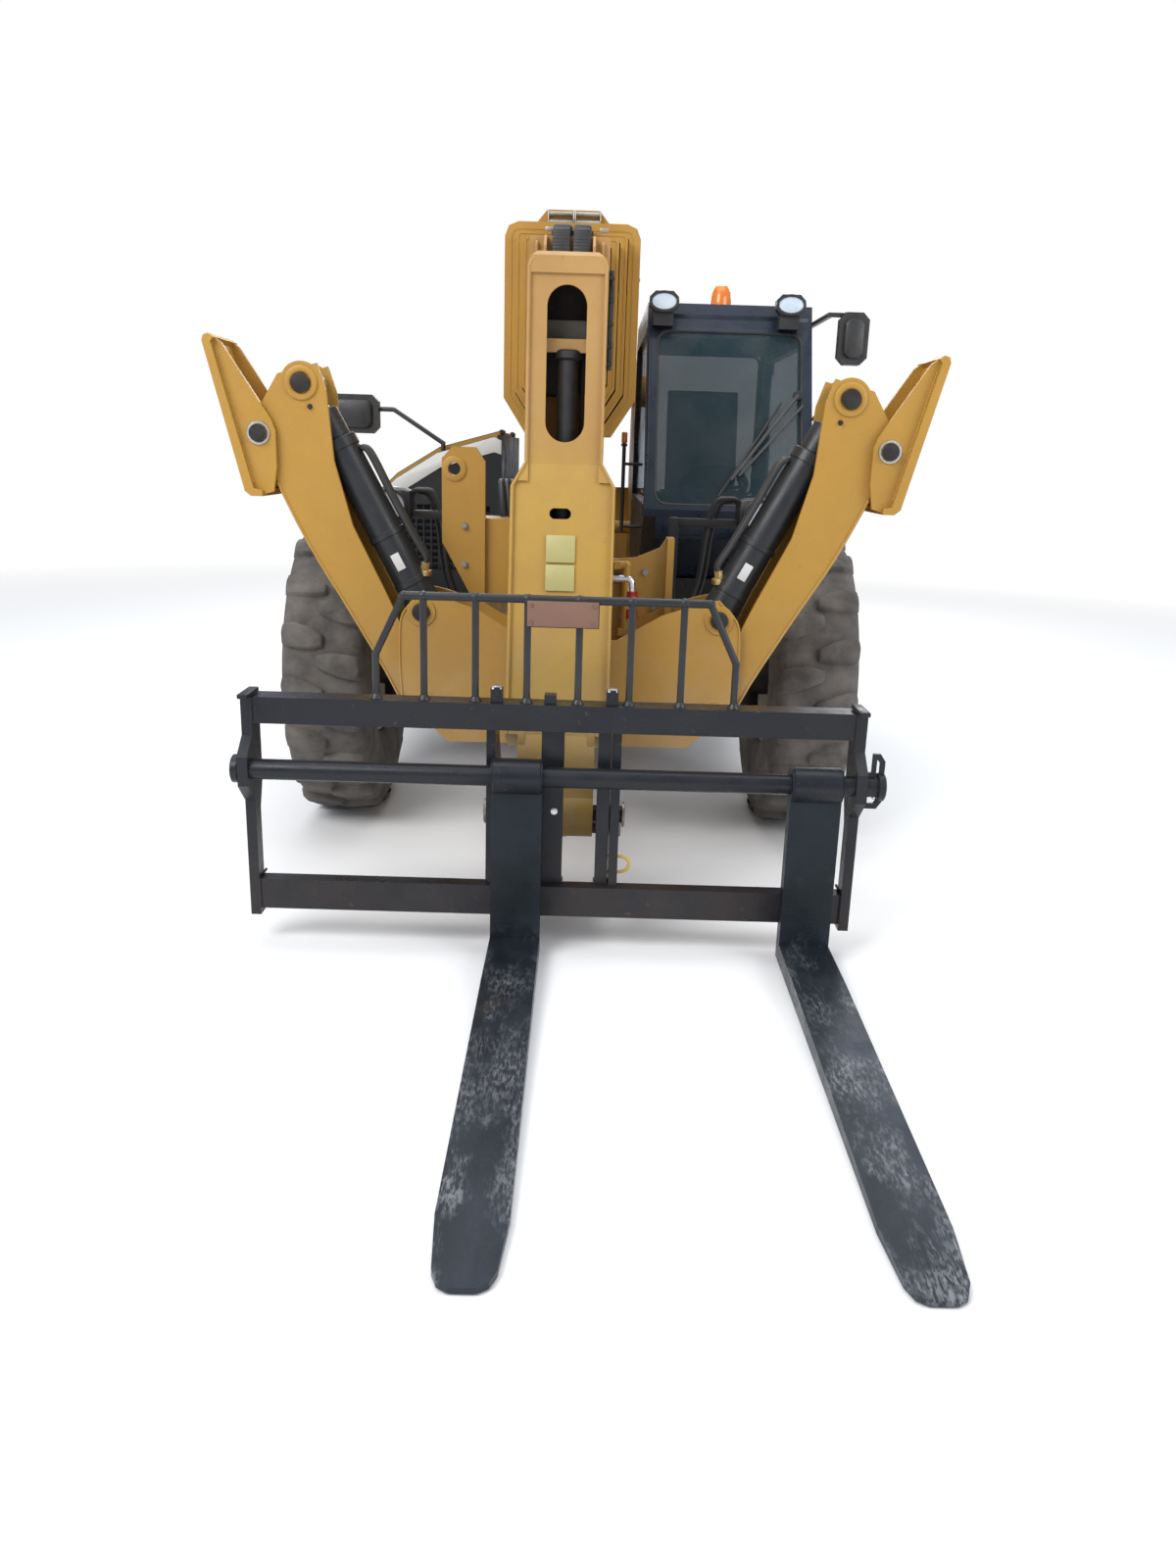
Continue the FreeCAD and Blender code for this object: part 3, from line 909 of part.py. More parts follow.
def door_outline(gap):
    """The door's side outline in y and z, drawn in by a gap."""
    return [(f"cab_toe + 70 + {gap}", f"cab_floor + 50 + {gap}"), (f"cab_nose + 95 + {gap}", "cab_sill"),
            (f"{screen_y('cab_roof - 125')} + 95 + {gap}", f"cab_roof - 125 - {gap}"),
            (f"cab_rear - 95 - {gap}", f"cab_roof - 125 - {gap}"),
            (f"cab_rear - 95 - {gap}", f"cab_floor + 50 + {gap}")]


def make_cab_inside():
    middle = "(cab_in + cab_out) / 2"
    floor = "cab_floor + cab_wall"
    seat = [box("seat_base", (f"{middle} - 200", "cab_rear - 680", floor),
                (f"{middle} + 200", "cab_rear - 280", f"{floor} + 280")),
            box("seat_cushion", (f"{middle} - 250", "cab_rear - 770", f"{floor} + 275"),
                (f"{middle} + 250", "cab_rear - 250", f"{floor} + 400")),
            slab("seat_back", "X", [("cab_rear - 370", f"{floor} + 390"),
                                    ("cab_rear - 240", f"{floor} + 390"),
                                    ("cab_rear - 130", f"{floor} + 980"),
                                    ("cab_rear - 230", f"{floor} + 980")], f"{middle} - 230",
                                    f"{middle} + 230")]
    node("seat", fuse("seat", seat))
    console = [slab("dash", "X", [("cab_toe + 70", floor), ("cab_nose + 200", "cab_sill - 90"),
                                  ("cab_nose + 200", "cab_sill - 60"),
                                  ("cab_front + 280", "cab_sill - 80"), ("cab_front + 330", floor)],
                    f"{middle} - 200", f"{middle} + 200"),
               strut("column", "40", (middle, "cab_front + 230", "cab_sill - 110"),
                     (middle, "cab_front + 387.4", "cab_sill + 86"))]
    node("console", fuse("console", console))
    wheel = doc.addObject("Part::Torus", "wheel_ring")
    bind(wheel, "Radius1", "steering_radius")
    bind(wheel, "Radius2", "steering_grip")
    wheel.Placement.Rotation = Rotation(Vector(-1, 0, 0), 10)
    bind(wheel, "Placement.Rotation.Angle", "steering_lean")
    put(wheel, (middle, "cab_front + 400", "cab_sill + 102"))
    spoke = box("wheel_spoke", (f"{middle} - steering_radius + 8", "cab_front + 385", "cab_sill + 88"),
                (f"{middle} + steering_radius - 8", "cab_front + 410", "cab_sill + 106"))
    node("steering_wheel", fuse("steering_wheel", [wheel, spoke]))


# Engine pod on the machine's right
def make_pod():
    low = box("pod_tray", ("pod_out + 20", "pod_front", "pod_low"),
              ("-chassis_half - seat_gap", "pod_rear", "pod_mid"))
    front = slab("pod_front_wall", "Y", [
        ("pod_in", "pod_mid - 5"), ("pod_in", "1740"), ("-450", "1757"), ("-750", "1667"), ("-970", "1530"),
        ("pod_out + 20", "1380"), ("pod_out + 20", "pod_mid - 5")], "pod_front", "pod_front + cowl_length")
    recess = box("grille_recess", ("pod_out + 150", "pod_front - 1", "grille_low"),
                 ("-470", "pod_front + 60", "grille_high"))
    slats = []
    for number in range(9):
        foot = f"grille_low + 25 + {number} * slat_pitch"
        slats.append(box(f"slat_{number}", ("pod_out + 140", "pod_front + 18", foot),
                         ("-460", "pod_front + 30", f"{foot} + slat_height")))
    inner = box("pod_inner_wall", ("pod_in - 25", "pod_front + 5", "pod_mid - 5"),
                ("pod_in", "pod_rear", "hood_axis_z - 19"))
    leaves, notches, barrels = [], [], []
    for number, along in enumerate(("pod_front + 320", "pod_rear - 320")):
        leaves.append(cylinder(f"pod_hinge_{number}", "hinge_radius", "hinge_length",
                               ("hood_axis_x", along, "hood_axis_z"), "Y"))
        leaves.append(box(f"pod_leaf_{number}", ("pod_in - 25", along, "hood_axis_z - 25"),
                          ("pod_in - 12", f"{along} + hinge_length", "hood_axis_z")))
        notches.append(cylinder(f"hood_notch_{number}", "hinge_radius + 2", "hinge_length + 4",
                                ("hood_axis_x", f"{along} - 2", "hood_axis_z"), "Y"))
        barrels.append(cylinder(f"hood_hinge_{number}", "hinge_radius", "hinge_length",
                                ("hood_axis_x", f"{along} + hinge_length + 2", "hood_axis_z"), "Y"))
    node("engine_pod", fuse("engine_pod", [low, cut("cowl", front, [recess]), inner] + slats + leaves))
    crown = [("pod_out", "hood_foot"), ("pod_out", "hood_side_top"), ("hood_bend_x", "hood_bend_z"),
             ("hood_crown_x", "hood_crown_z"), ("hood_axis_x", "hood_axis_z")]
    under = [("hood_axis_x", "hood_axis_z - hood_wall"), ("hood_crown_x - 8", "hood_crown_z - hood_wall"),
             ("hood_bend_x + 10", "hood_bend_z - hood_wall"),
             ("pod_out + hood_wall", "hood_side_top - 10"), ("pod_out + hood_wall", "hood_foot")]
    skin = slab("hood_skin", "Y", crown + under, "pod_front + cowl_length + 5", "pod_rear")
    end = slab("hood_end", "Y", crown + [("hood_axis_x", "hood_foot")], "pod_rear - hood_wall", "pod_rear")
    hood = cut("hood_cut", fuse("hood_whole", [skin, end]), notches)
    node("engine_hood", fuse("engine_hood", [hood] + barrels))
    node("engine_block", box("engine_block", ("pod_out + 120", "pod_front + 250", "pod_mid + seat_gap"),
                             ("pod_in - 60", "pod_rear - 250", "pod_mid + 440")))


def make_tank():
    tank = box("tank_block", ("chassis_half + seat_gap", "cab_front + 50", "tank_low"),
               ("cab_out - 40", "cab_rear + 20", "cab_floor - 10"))
    steps = [box(f"step_{number}", ("cab_out - 200", "cab_front + 250", f"tank_low + 40 + {number} * 190"),
                 ("cab_out", "cab_front + 750", f"tank_low + 190 + {number} * 190")) for number in range(2)]
    node("tank", cut("tank", tank, steps))


# Mirrors, lamps and beacon
def mirror_body(name, low_x, high_x, low_z, high_z, y):
    """A mirror's housing with its corners taken off."""
    inset = "mirror_corner"
    outline = [(f"{low_x} + {inset}", low_z), (f"{high_x} - {inset}", low_z),
               (high_x, f"{low_z} + {inset}"),
               (high_x, f"{high_z} - {inset}"), (f"{high_x} - {inset}", high_z),
               (f"{low_x} + {inset}", high_z),
               (low_x, f"{high_z} - {inset}"), (low_x, f"{low_z} + {inset}")]
    return slab(name, "Y", outline, y, f"{y} + mirror_thick")


def make_mirrors():
    left = [mirror_body("mirror_left_body", "mirror_left_x - 140", "mirror_left_x", "mirror_left_low",
                        "mirror_left_high", "cab_front - 440"),
            box("mirror_left_arm", ("cab_out + seat_gap", "cab_front - 400", "mirror_left_high - 20"),
                ("mirror_left_x - 100", "cab_front - 380", "mirror_left_high")),
            box("mirror_left_reach", ("cab_out + seat_gap", "cab_front - 400", "mirror_left_high - 20"),
                ("cab_out + 20", "cab_front + 125", "mirror_left_high"))]
    y, bar, out = "pod_front + 100", "mirror_bar", "-990"
    right = [mirror_body("mirror_right_body", "mirror_right_x", "mirror_right_x + 295", "mirror_right_low",
                         "mirror_right_high", "pod_front + 60"),
             cylinder("mirror_right_arm", bar, f"{out} - (mirror_right_x + 100)",
                      ("mirror_right_x + 100", y, "1880"), "X"),
             strut("mirror_right_post", bar, (out, y, "1880"), ("-722", y, "1712")),
             cylinder("mirror_right_foot", bar, "40", ("-730", y, "1677"), "Z")]
    node("mirrors", fuse("mirrors", left + right))


def make_lamps():
    heads = []
    for side, sign in (("left", 1), ("right", -1)):
        low, high = ("head_in", "head_out") if sign > 0 else ("-head_out", "-head_in")
        reach_low, reach_high = ("chassis_half + 5", "head_in + 20") if sign > 0 else (
            "-head_in - 20", "-chassis_half - 5")
        post_low, post_high = ("chassis_half + seat_gap", "chassis_half + 40") if sign > 0 else (
            "-chassis_half - 40", "-chassis_half - seat_gap")
        heads += [box(f"head_{side}", (low, "-520", "head_low"), (high, "-380", "head_high")),
                  box(f"head_arm_{side}", (reach_low, "-470", "1400"), (reach_high, "-430", "1440")),
                  box(f"head_post_{side}", (post_low, "-480", "1000"), (post_high, "-420", "1440"))]
    node("headlamps", fuse("headlamps", heads))
    lights = []
    middle = "(cab_roof - 8)"
    base = [("cab_front - 40", "cab_roof - 120"), ("cab_front + 20 - seat_gap", "cab_roof - 120"),
            ("cab_front + 49 - seat_gap", "cab_roof - 50"), ("cab_front - 40", "cab_roof - 50")]
    for number, x in enumerate(("(cab_in + 75)", "(cab_out - 128)")):
        oval = [(f"{x} + {across}", f"{middle} + {up}") for across, up in (
            ("-45", "-49"), ("45", "-49"), ("73", "-22"), ("73", "22"), ("45", "49"), ("-45", "49"),
            ("-73", "22"),
            ("-73", "-22"))]
        lights.append(slab(f"work_lamp_{number}", "Y", oval, "cab_front - 60", "cab_front"))
        lights.append(slab(f"work_lamp_base_{number}", "X", base, f"{x} - 50", f"{x} + 50"))
    node("cab_lamps", fuse("cab_lamps", lights))
    node("beacon", cylinder("beacon", "beacon_radius", "beacon_height",
                            ("815", "cab_rear - 280", "cab_roof + seat_gap"), "Z"))


for make in (make_wheels, make_axles, make_chassis, make_boom, make_nose, make_rams, make_stabilisers,
             make_carriage, make_guard, make_forks, make_cab, make_cab_inside, make_pod, make_tank,
             make_mirrors, make_lamps):
    make()
doc.recompute()

# Check and export
for item in doc.Objects:
    if "Invalid" in item.State or "Error" in item.State:
        raise RuntimeError(f"{item.Label} did not build: {item.State}")
os.makedirs("parts", exist_ok=True)
for name, item in nodes.items():
    shape = item.Shape
    if shape.isNull() or not shape.isValid():
        raise RuntimeError(f"{name} has no valid shape")
    shape.exportStep(f"parts/{name}.step")
    bounds = shape.BoundBox
    low = [round(v) for v in (bounds.XMin, bounds.YMin, bounds.ZMin)]
    high = [round(v) for v in (bounds.XMax, bounds.YMax, bounds.ZMax)]
    print(name, len(shape.Solids), low, high)
print(len(nodes), "nodes")
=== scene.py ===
# %% [markdown]
# A telescopic handler stands on its four tyres with its forks towards us. The construction model gives every
# solid and joint, and this notebook adds the finish and the small things that the photograph shows.

# %% Frame
import bpy
import bmesh
import json
import math
import random
from mathutils import Matrix, Vector


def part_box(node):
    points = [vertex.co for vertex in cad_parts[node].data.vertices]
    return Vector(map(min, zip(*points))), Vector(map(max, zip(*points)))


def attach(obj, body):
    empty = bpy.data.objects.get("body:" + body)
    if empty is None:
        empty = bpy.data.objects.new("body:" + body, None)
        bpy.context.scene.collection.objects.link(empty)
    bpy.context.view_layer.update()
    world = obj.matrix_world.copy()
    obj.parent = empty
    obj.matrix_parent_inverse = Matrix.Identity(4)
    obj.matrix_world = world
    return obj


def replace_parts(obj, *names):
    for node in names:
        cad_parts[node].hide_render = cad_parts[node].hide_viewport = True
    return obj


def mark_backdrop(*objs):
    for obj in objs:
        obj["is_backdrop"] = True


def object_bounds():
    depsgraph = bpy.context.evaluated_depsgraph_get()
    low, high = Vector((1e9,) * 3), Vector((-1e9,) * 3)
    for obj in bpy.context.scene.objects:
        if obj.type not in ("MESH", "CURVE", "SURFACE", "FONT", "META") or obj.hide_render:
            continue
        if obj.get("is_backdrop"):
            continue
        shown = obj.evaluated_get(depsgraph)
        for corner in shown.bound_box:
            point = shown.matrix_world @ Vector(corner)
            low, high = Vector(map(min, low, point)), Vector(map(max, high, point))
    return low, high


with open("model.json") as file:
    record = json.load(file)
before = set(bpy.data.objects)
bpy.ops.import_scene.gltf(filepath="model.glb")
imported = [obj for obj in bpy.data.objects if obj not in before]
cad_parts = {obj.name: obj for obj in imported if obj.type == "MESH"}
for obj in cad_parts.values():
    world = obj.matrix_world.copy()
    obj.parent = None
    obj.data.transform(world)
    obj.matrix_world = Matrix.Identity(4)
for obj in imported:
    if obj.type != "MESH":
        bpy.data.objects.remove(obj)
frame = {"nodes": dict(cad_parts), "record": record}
nodes, record = frame["nodes"], frame["record"]


def save_bounds():
    """The construction model's bounds, as two corners."""
    low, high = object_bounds()
    return Vector(low), Vector(high)


low_corner, high_corner = save_bounds()
front_axle = (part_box("tyre_front_left")[0].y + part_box("tyre_front_left")[1].y) / 2
print("bounds", low_corner, high_corner, "front axle", round(front_axle, 4))

# %% [markdown]
# The photographer stood six metres in front of the front axle with a phone held upright at eye level,
# pointed a little down. The view is set from that fitted position instead of by eye.

# %% Camera
CAMERA_PLACE = (0.0661, -6.0712, 1.6962)
YAW, PITCH, ROLL = (math.radians(angle) for angle in (0.2729, 16.025, 1.7475))
FOCAL_LENGTH, SENSOR_WIDTH, FARTHEST = 26.56, 36, 100

photo_lens = bpy.data.cameras.new("photo_lens")
photo_lens.lens, photo_lens.sensor_width, photo_lens.clip_end = FOCAL_LENGTH, SENSOR_WIDTH, FARTHEST
camera = bpy.data.objects.new("photo_camera", photo_lens)
bpy.context.collection.objects.link(camera)
ahead = Vector((math.sin(YAW) * math.cos(PITCH), math.cos(YAW) * math.cos(PITCH), -math.sin(PITCH)))
right = Vector((math.cos(YAW), -math.sin(YAW), 0))
above = right.cross(ahead)
across = right * math.cos(ROLL) + above * math.sin(ROLL)
upright = above * math.cos(ROLL) - right * math.sin(ROLL)
aim = Matrix((across, upright, -ahead)).transposed().to_4x4()
camera.matrix_world = Matrix.Translation(CAMERA_PLACE) @ aim
bpy.context.scene.camera = camera
print("camera at", [round(v, 3) for v in camera.location])

# %% [markdown]
# The machine stands on a pale floor in a white surround, as a part does in a catalogue, with light as
# soft as an overcast sky, so that the paint keeps its own colour. Far out the floor fades into white, and
# glass and camera see the surround white, while the sky that lights the paint is a little blue.

# %% Floor and light
FLOOR_HALF, FADE_START, FADE_END = 30, 5, 12
LIGHTS = (("key_light", (-4.5, -6.5, 6.5), (0, -1, 1), (5, 4), 540),
          ("fill_light", (6, -5, 4), (0, -0.5, 1.2), (4, 4), 230),
          ("top_light", (0, 0.5, 8), (0, 0, 0), (9, 9), 520),
          ("back_light", (1, 8, 5), (0, 1, 1), (7, 4), 330))


def new_object(name, data):
    made = bpy.data.objects.new(name, data)
    bpy.context.collection.objects.link(made)
    return made


def join(tree, value, target):
    """Sets a node's input, or links it to another node's output."""
    if isinstance(value, bpy.types.NodeSocket):
        tree.links.new(value, target)
    else:
        target.default_value = value


def add_node(tree, kind, **values):
    """A new shader node with its named inputs set or linked."""
    made = tree.nodes.new(kind)
    for socket, value in values.items():
        join(tree, value, made.inputs[socket.replace("_", " ")])
    return made


def blend(tree, mask, first, second, target):
    """Mixes two shaders by a mask and hands them to an output."""
    made = add_node(tree, "ShaderNodeMixShader", Fac=mask)
    join(tree, first.outputs[0], made.inputs[1])
    join(tree, second.outputs[0], made.inputs[2])
    join(tree, made.outputs[0], target.inputs["Surface"])


def soft_light(name, place, target, size, power):
    """A lit rectangle that faces its target."""
    lamp = bpy.data.lights.new(name, "AREA")
    lamp.shape = "RECTANGLE"
    lamp.size, lamp.size_y = size
    lamp.energy = power
    made = new_object(name, lamp)
    made.location = place
    made.rotation_euler = (Vector(target) - Vector(place)).to_track_quat("-Z", "Y").to_euler()
    return made


floor_mesh = bpy.data.meshes.new("floor")
floor_corners = [(x * FLOOR_HALF, y * FLOOR_HALF, 0) for x, y in ((-1, -1), (1, -1), (1, 1), (-1, 1))]
floor_mesh.from_pydata(floor_corners, [], [(0, 1, 2, 3)])
floor = new_object("floor", floor_mesh)
floor_paint = bpy.data.materials.new("floor_paint")
floor_paint.use_nodes = True
floor_tree = floor_paint.node_tree
floor_shader = floor_tree.nodes["Principled BSDF"]
join(floor_tree, (0.86, 0.86, 0.85, 1), floor_shader.inputs["Base Color"])
join(floor_tree, 0.9, floor_shader.inputs["Roughness"])
away = add_node(floor_tree, "ShaderNodeVectorMath")
away.operation = "LENGTH"
join(floor_tree, add_node(floor_tree, "ShaderNodeTexCoord").outputs["Object"], away.inputs[0])
fade = add_node(floor_tree, "ShaderNodeMapRange", Value=away.outputs["Value"], From_Min=FADE_START,
                From_Max=FADE_END)
blend(floor_tree, fade.outputs[0], floor_shader, add_node(floor_tree, "ShaderNodeEmission"),
      floor_tree.nodes["Material Output"])
floor_mesh.materials.append(floor_paint)

world = bpy.data.worlds.new("surround")
bpy.context.scene.world = world
world.use_nodes = True
sky_tree = world.node_tree
sky_tree.nodes.clear()
rays = add_node(sky_tree, "ShaderNodeLightPath")
seen = add_node(sky_tree, "ShaderNodeMath")
seen.operation = "MAXIMUM"
join(sky_tree, rays.outputs["Is Camera Ray"], seen.inputs[0])
join(sky_tree, rays.outputs["Is Transmission Ray"], seen.inputs[1])
sky = add_node(sky_tree, "ShaderNodeBackground", Color=(0.80, 0.87, 1.0, 1), Strength=0.55)
white = add_node(sky_tree, "ShaderNodeBackground", Color=(1, 1, 1, 1), Strength=1)
blend(sky_tree, seen.outputs[0], sky, white, add_node(sky_tree, "ShaderNodeOutputWorld"))

key, fill, top, back = (soft_light(*row) for row in LIGHTS)
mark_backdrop(floor, key, fill, top, back)
scene = bpy.context.scene
scene.view_settings.view_transform = "Standard"
print("floor and", len(LIGHTS), "lights")

# %% [markdown]
# Every finish is mixed from the same few layers that the real machine has: a coat of paint or bare steel,
# faded and darker patches, pale road dust that thickens towards the ground, and a fine grain. The grain is
# worked out from each point's own place on the machine, so nothing is stretched on any face.

# %% Finishes
MIX_MASK, MIX_UNDER, MIX_OVER, MIX_RESULT = 0, 6, 7, 2
RUBBED, RUST = (0.20, 0.13, 0.07), (0.17, 0.075, 0.035)
LOWER_FADE = (1.5, 1.85)


class Layers:
    """Builds one procedural finish, layer by layer."""

    def __init__(self, name):
        self.material = bpy.data.materials.new(name + "_finish")
        self.material.use_nodes = True
        self.tree = self.material.node_tree
        self.shader = self.tree.nodes["Principled BSDF"]
        self.place = self.node("ShaderNodeTexCoord").outputs["Object"]

    def node(self, kind, **values):
        return add_node(self.tree, kind, **values)

    def noise(self, scale, detail=4, low=0.4, high=0.6, stretch=(1, 1, 1)):
        """A soft mask of patches between 0 and 1."""
        place = self.place
        if stretch != (1, 1, 1):
            place = self.node("ShaderNodeMapping", Vector=place, Scale=stretch).outputs[0]
        grain = self.node("ShaderNodeTexNoise", Vector=place, Scale=scale, Detail=detail, Roughness=0.6)
        return self.span(grain.outputs["Fac"], low, high)

    def span(self, value, low, high, start=0.0, end=1.0):
        """A value brought from one range to another."""
        made = self.node("ShaderNodeMapRange", Value=value, From_Min=low, From_Max=high, To_Min=start,
                         To_Max=end)
        return made.outputs[0]

    def height(self, low, high):
        """1 at the low level and 0 at the high one, in metres above the ground."""
        split = self.node("ShaderNodeSeparateXYZ", Vector=self.place)
        return self.span(split.outputs["Z"], low, high, 1.0, 0.0)

    def times(self, first, second):
        made = self.node("ShaderNodeMath")
        made.operation = "MULTIPLY"
        join(self.tree, first, made.inputs[0])
        join(self.tree, second, made.inputs[1])
        return made.outputs[0]

    def mix(self, mask, under, over):
        """One colour laid over another where the mask is 1."""
        made = self.node("ShaderNodeMix")
        made.data_type = "RGBA"
        for index, value in ((MIX_MASK, mask), (MIX_UNDER, under), (MIX_OVER, over)):
            join(self.tree, (*value, 1) if isinstance(value, tuple) else value, made.inputs[index])
        return made.outputs[MIX_RESULT]

    def bump(self, scale, depth, detail=5, stretch=(1, 1, 1)):
        grain = self.noise(scale, detail, 0.2, 0.8, stretch)
        made = self.node("ShaderNodeBump", Height=grain, Strength=1.0, Distance=depth)
        join(self.tree, made.outputs[0], self.shader.inputs["Normal"])

    def close(self, color, rough, metal=0.0, coat=0.0, shine=0.5):
        """Hands the layers to the shader."""
        for socket, value in (("Base Color", color), ("Roughness", rough), ("Metallic", metal),
                              ("Coat Weight", coat), ("Specular IOR Level", shine)):
            join(self.tree, value, self.shader.inputs[socket])
        return self.material


def paint(name, color, deep, rough=0.42, dust=(0.42, 0.36, 0.28), dust_top=1.2, dust_most=0.55,
          scratch=0.0, lower=None, shine=0.5):
    """Sprayed paint with faded patches, dust from below and a few rubbed spots."""
    made = Layers(name)
    if lower:
        color = made.mix(made.height(*LOWER_FADE), color, lower)
    base = made.mix(made.times(made.noise(1.7, 5, 0.35, 0.7), 0.8), color, deep)
    base = made.mix(made.times(made.noise(11, 8, 0.45, 0.75), 0.3), base, deep)
    if scratch:
        base = made.mix(made.times(made.noise(38, 10, 0.655, 0.70), scratch), base, RUBBED)
    film = made.times(made.height(0.05, dust_top), made.noise(5, 7, 0.30, 0.62))
    base = made.mix(made.times(film, dust_most), base, dust)
    made.bump(150, 0.0004)
    gloss = made.span(made.noise(9, 6, 0.3, 0.7), 0, 1, rough - 0.08, rough + 0.16)
    return made.close(base, gloss, shine=shine)


def metal(name, color, deep, rough, rust=0.0):
    """Bare or oiled metal, with brown rust in patches."""
    made = Layers(name)
    base = made.mix(made.noise(14, 6, 0.3, 0.7), color, deep)
    if rust:
        base = made.mix(made.times(made.noise(7, 8, 0.48, 0.62), rust), base, RUST)
    made.bump(90, 0.0005)
    gloss = made.span(made.noise(20, 5, 0.3, 0.7), 0, 1, rough, min(rough + 0.2, 1))
    return made.close(base, gloss, 1.0 - rust * 0.6)


def fork_steel():
    """Black forks whose tops and tips are rubbed to bare grey steel, with pale scuffs along their length."""
    made = Layers("fork_steel")
    base = made.mix(made.noise(6, 6, 0.3, 0.7), (0.009, 0.013, 0.017), (0.018, 0.024, 0.031))
    worn = made.times(made.height(0.05, 0.16), made.noise(1.4, 8, 0.36, 0.70, (3, 0.8, 3)))
    base = made.mix(made.times(worn, 0.65), base, (0.052, 0.066, 0.090))
    patch = made.times(made.height(0.06, 0.12), made.noise(3.5, 5, 0.46, 0.66, (2, 0.9, 2)))
    scuffs = made.times(patch, made.noise(42, 10, 0.47, 0.60, (2.4, 0.8, 2)))
    base = made.mix(scuffs, base, (0.20, 0.21, 0.225))
    lines = made.times(patch, made.noise(110, 5, 0.52, 0.64, (4, 0.15, 3)))
    base = made.mix(made.times(lines, 0.6), base, (0.28, 0.29, 0.31))
    base = made.mix(made.times(made.noise(5, 8, 0.58, 0.75), 0.35), base, (0.10, 0.065, 0.045))
    made.bump(60, 0.0006, 6, (2, 0.7, 2))
    return made.close(base, made.span(made.noise(12, 6, 0.3, 0.7), 0, 1, 0.30, 0.52), 0.55)


def plain(name, color, deep, rough, scale=40, depth=0.0003, coat=0.0):
    """Rubber, plastic or cloth with a slight grain."""
    made = Layers(name)
    made.bump(scale * 3, depth)
    base = made.mix(made.noise(scale / 4, 5, 0.35, 0.65), color, deep)
    gloss = made.span(made.noise(scale / 2, 5, 0.3, 0.7), 0, 1, rough - 0.06, rough + 0.1)
    return made.close(base, gloss, coat=coat)


def glazing(name, color, alpha):
    """Tinted window glass that one can see through, with a thin film of dust."""
    made = Layers(name)
    tint = made.mix(made.times(made.noise(3, 6, 0.4, 0.8), 0.12), color, (0.35, 0.36, 0.35))
    made.shader.inputs["Alpha"].default_value = alpha
    return made.close(tint, made.span(made.noise(6, 6, 0.4, 0.8), 0, 1, 0.04, 0.2))


yellow = paint("machine_yellow", (0.42, 0.226, 0.030), (0.355, 0.186, 0.027), scratch=0.35)
ochre = paint("nose_ochre", (0.425, 0.245, 0.078), (0.35, 0.19, 0.053), rough=0.5, scratch=0.3,
              lower=(0.46, 0.285, 0.033))
yellow_bright = paint("bright_yellow", (0.70, 0.47, 0.03), (0.62, 0.39, 0.03), rough=0.4)
black = paint("black_paint", (0.014, 0.016, 0.019), (0.023, 0.024, 0.026), rough=0.34, shine=0.4,
              dust=(0.20, 0.16, 0.12), dust_most=0.22, scratch=0.15)
frame_black = paint("cab_paint", (0.005, 0.011, 0.024), (0.009, 0.017, 0.031), rough=0.28,
                    dust=(0.2, 0.17, 0.13), dust_most=0.12)
rail_black = paint("carriage_paint", (0.010, 0.012, 0.016), (0.018, 0.019, 0.022), rough=0.30, shine=0.3,
                   dust=(0.11, 0.065, 0.045), dust_top=0.45, dust_most=0.26, scratch=0.2)
rim_paint = paint("rim_paint", (0.50, 0.46, 0.38), (0.38, 0.34, 0.28), rough=0.55, dust_most=0.7)
# White paint: the ram labels' own colour. On the hood band and on the right-hand lamp's top it is a painted
# highlight for glare.
white_and_glare = paint("white_label_and_glare", (0.62, 0.62, 0.60), (0.52, 0.52, 0.50), dust_most=0.3)
pale_label = paint("blank_label", (0.44, 0.40, 0.16), (0.38, 0.34, 0.13), rough=0.35, dust_most=0.2)
brown_plate = paint("blank_plate", (0.20, 0.105, 0.070), (0.17, 0.09, 0.06), rough=0.5, dust_most=0.3)
steel = fork_steel()
dark = metal("dark_iron", (0.06, 0.057, 0.055), (0.03, 0.028, 0.026), 0.5, rust=0.2)
shiny = metal("polished_rod", (0.70, 0.70, 0.71), (0.58, 0.58, 0.6), 0.10)
chrome = metal("bright_steel", (0.75, 0.75, 0.74), (0.6, 0.6, 0.6), 0.16)
zinc = metal("zinc_bolts", (0.42, 0.40, 0.36), (0.28, 0.26, 0.23), 0.38, rust=0.15)
brass = metal("brass_fittings", (0.60, 0.45, 0.20), (0.45, 0.33, 0.15), 0.3)
rubber = plain("tyre_rubber", (0.135, 0.120, 0.106), (0.060, 0.055, 0.051), 0.85, 26, 0.0012)
# Black hose rubber. It also colours the sheet of painted shade behind the head's slot.
hose_and_shade_black = plain("hose_rubber_and_shade", (0.016, 0.016, 0.017), (0.03, 0.028, 0.026), 0.5, 60)
plastic = plain("dark_plastic", (0.018, 0.018, 0.019), (0.028, 0.027, 0.027), 0.42)
dull_plate = plain("dull_plate", (0.105, 0.098, 0.075), (0.08, 0.075, 0.06), 0.6)
red = plain("red_plastic", (0.45, 0.02, 0.015), (0.35, 0.015, 0.01), 0.35)
cloth = plain("seat_cloth", (0.035, 0.036, 0.04), (0.055, 0.055, 0.058), 0.92, 90, 0.0006)
amber = plain("amber_lens", (0.80, 0.22, 0.015), (0.65, 0.16, 0.01), 0.2, coat=0.5)
lamp_lens = plain("lamp_lens", (0.62, 0.70, 0.78), (0.50, 0.60, 0.72), 0.12, 60, coat=0.6)
glass_face = plain("mirror_glass", (0.55, 0.60, 0.64), (0.48, 0.53, 0.58), 0.08, 10)
pane = glazing("window_glass", (0.018, 0.042, 0.052), 0.5)

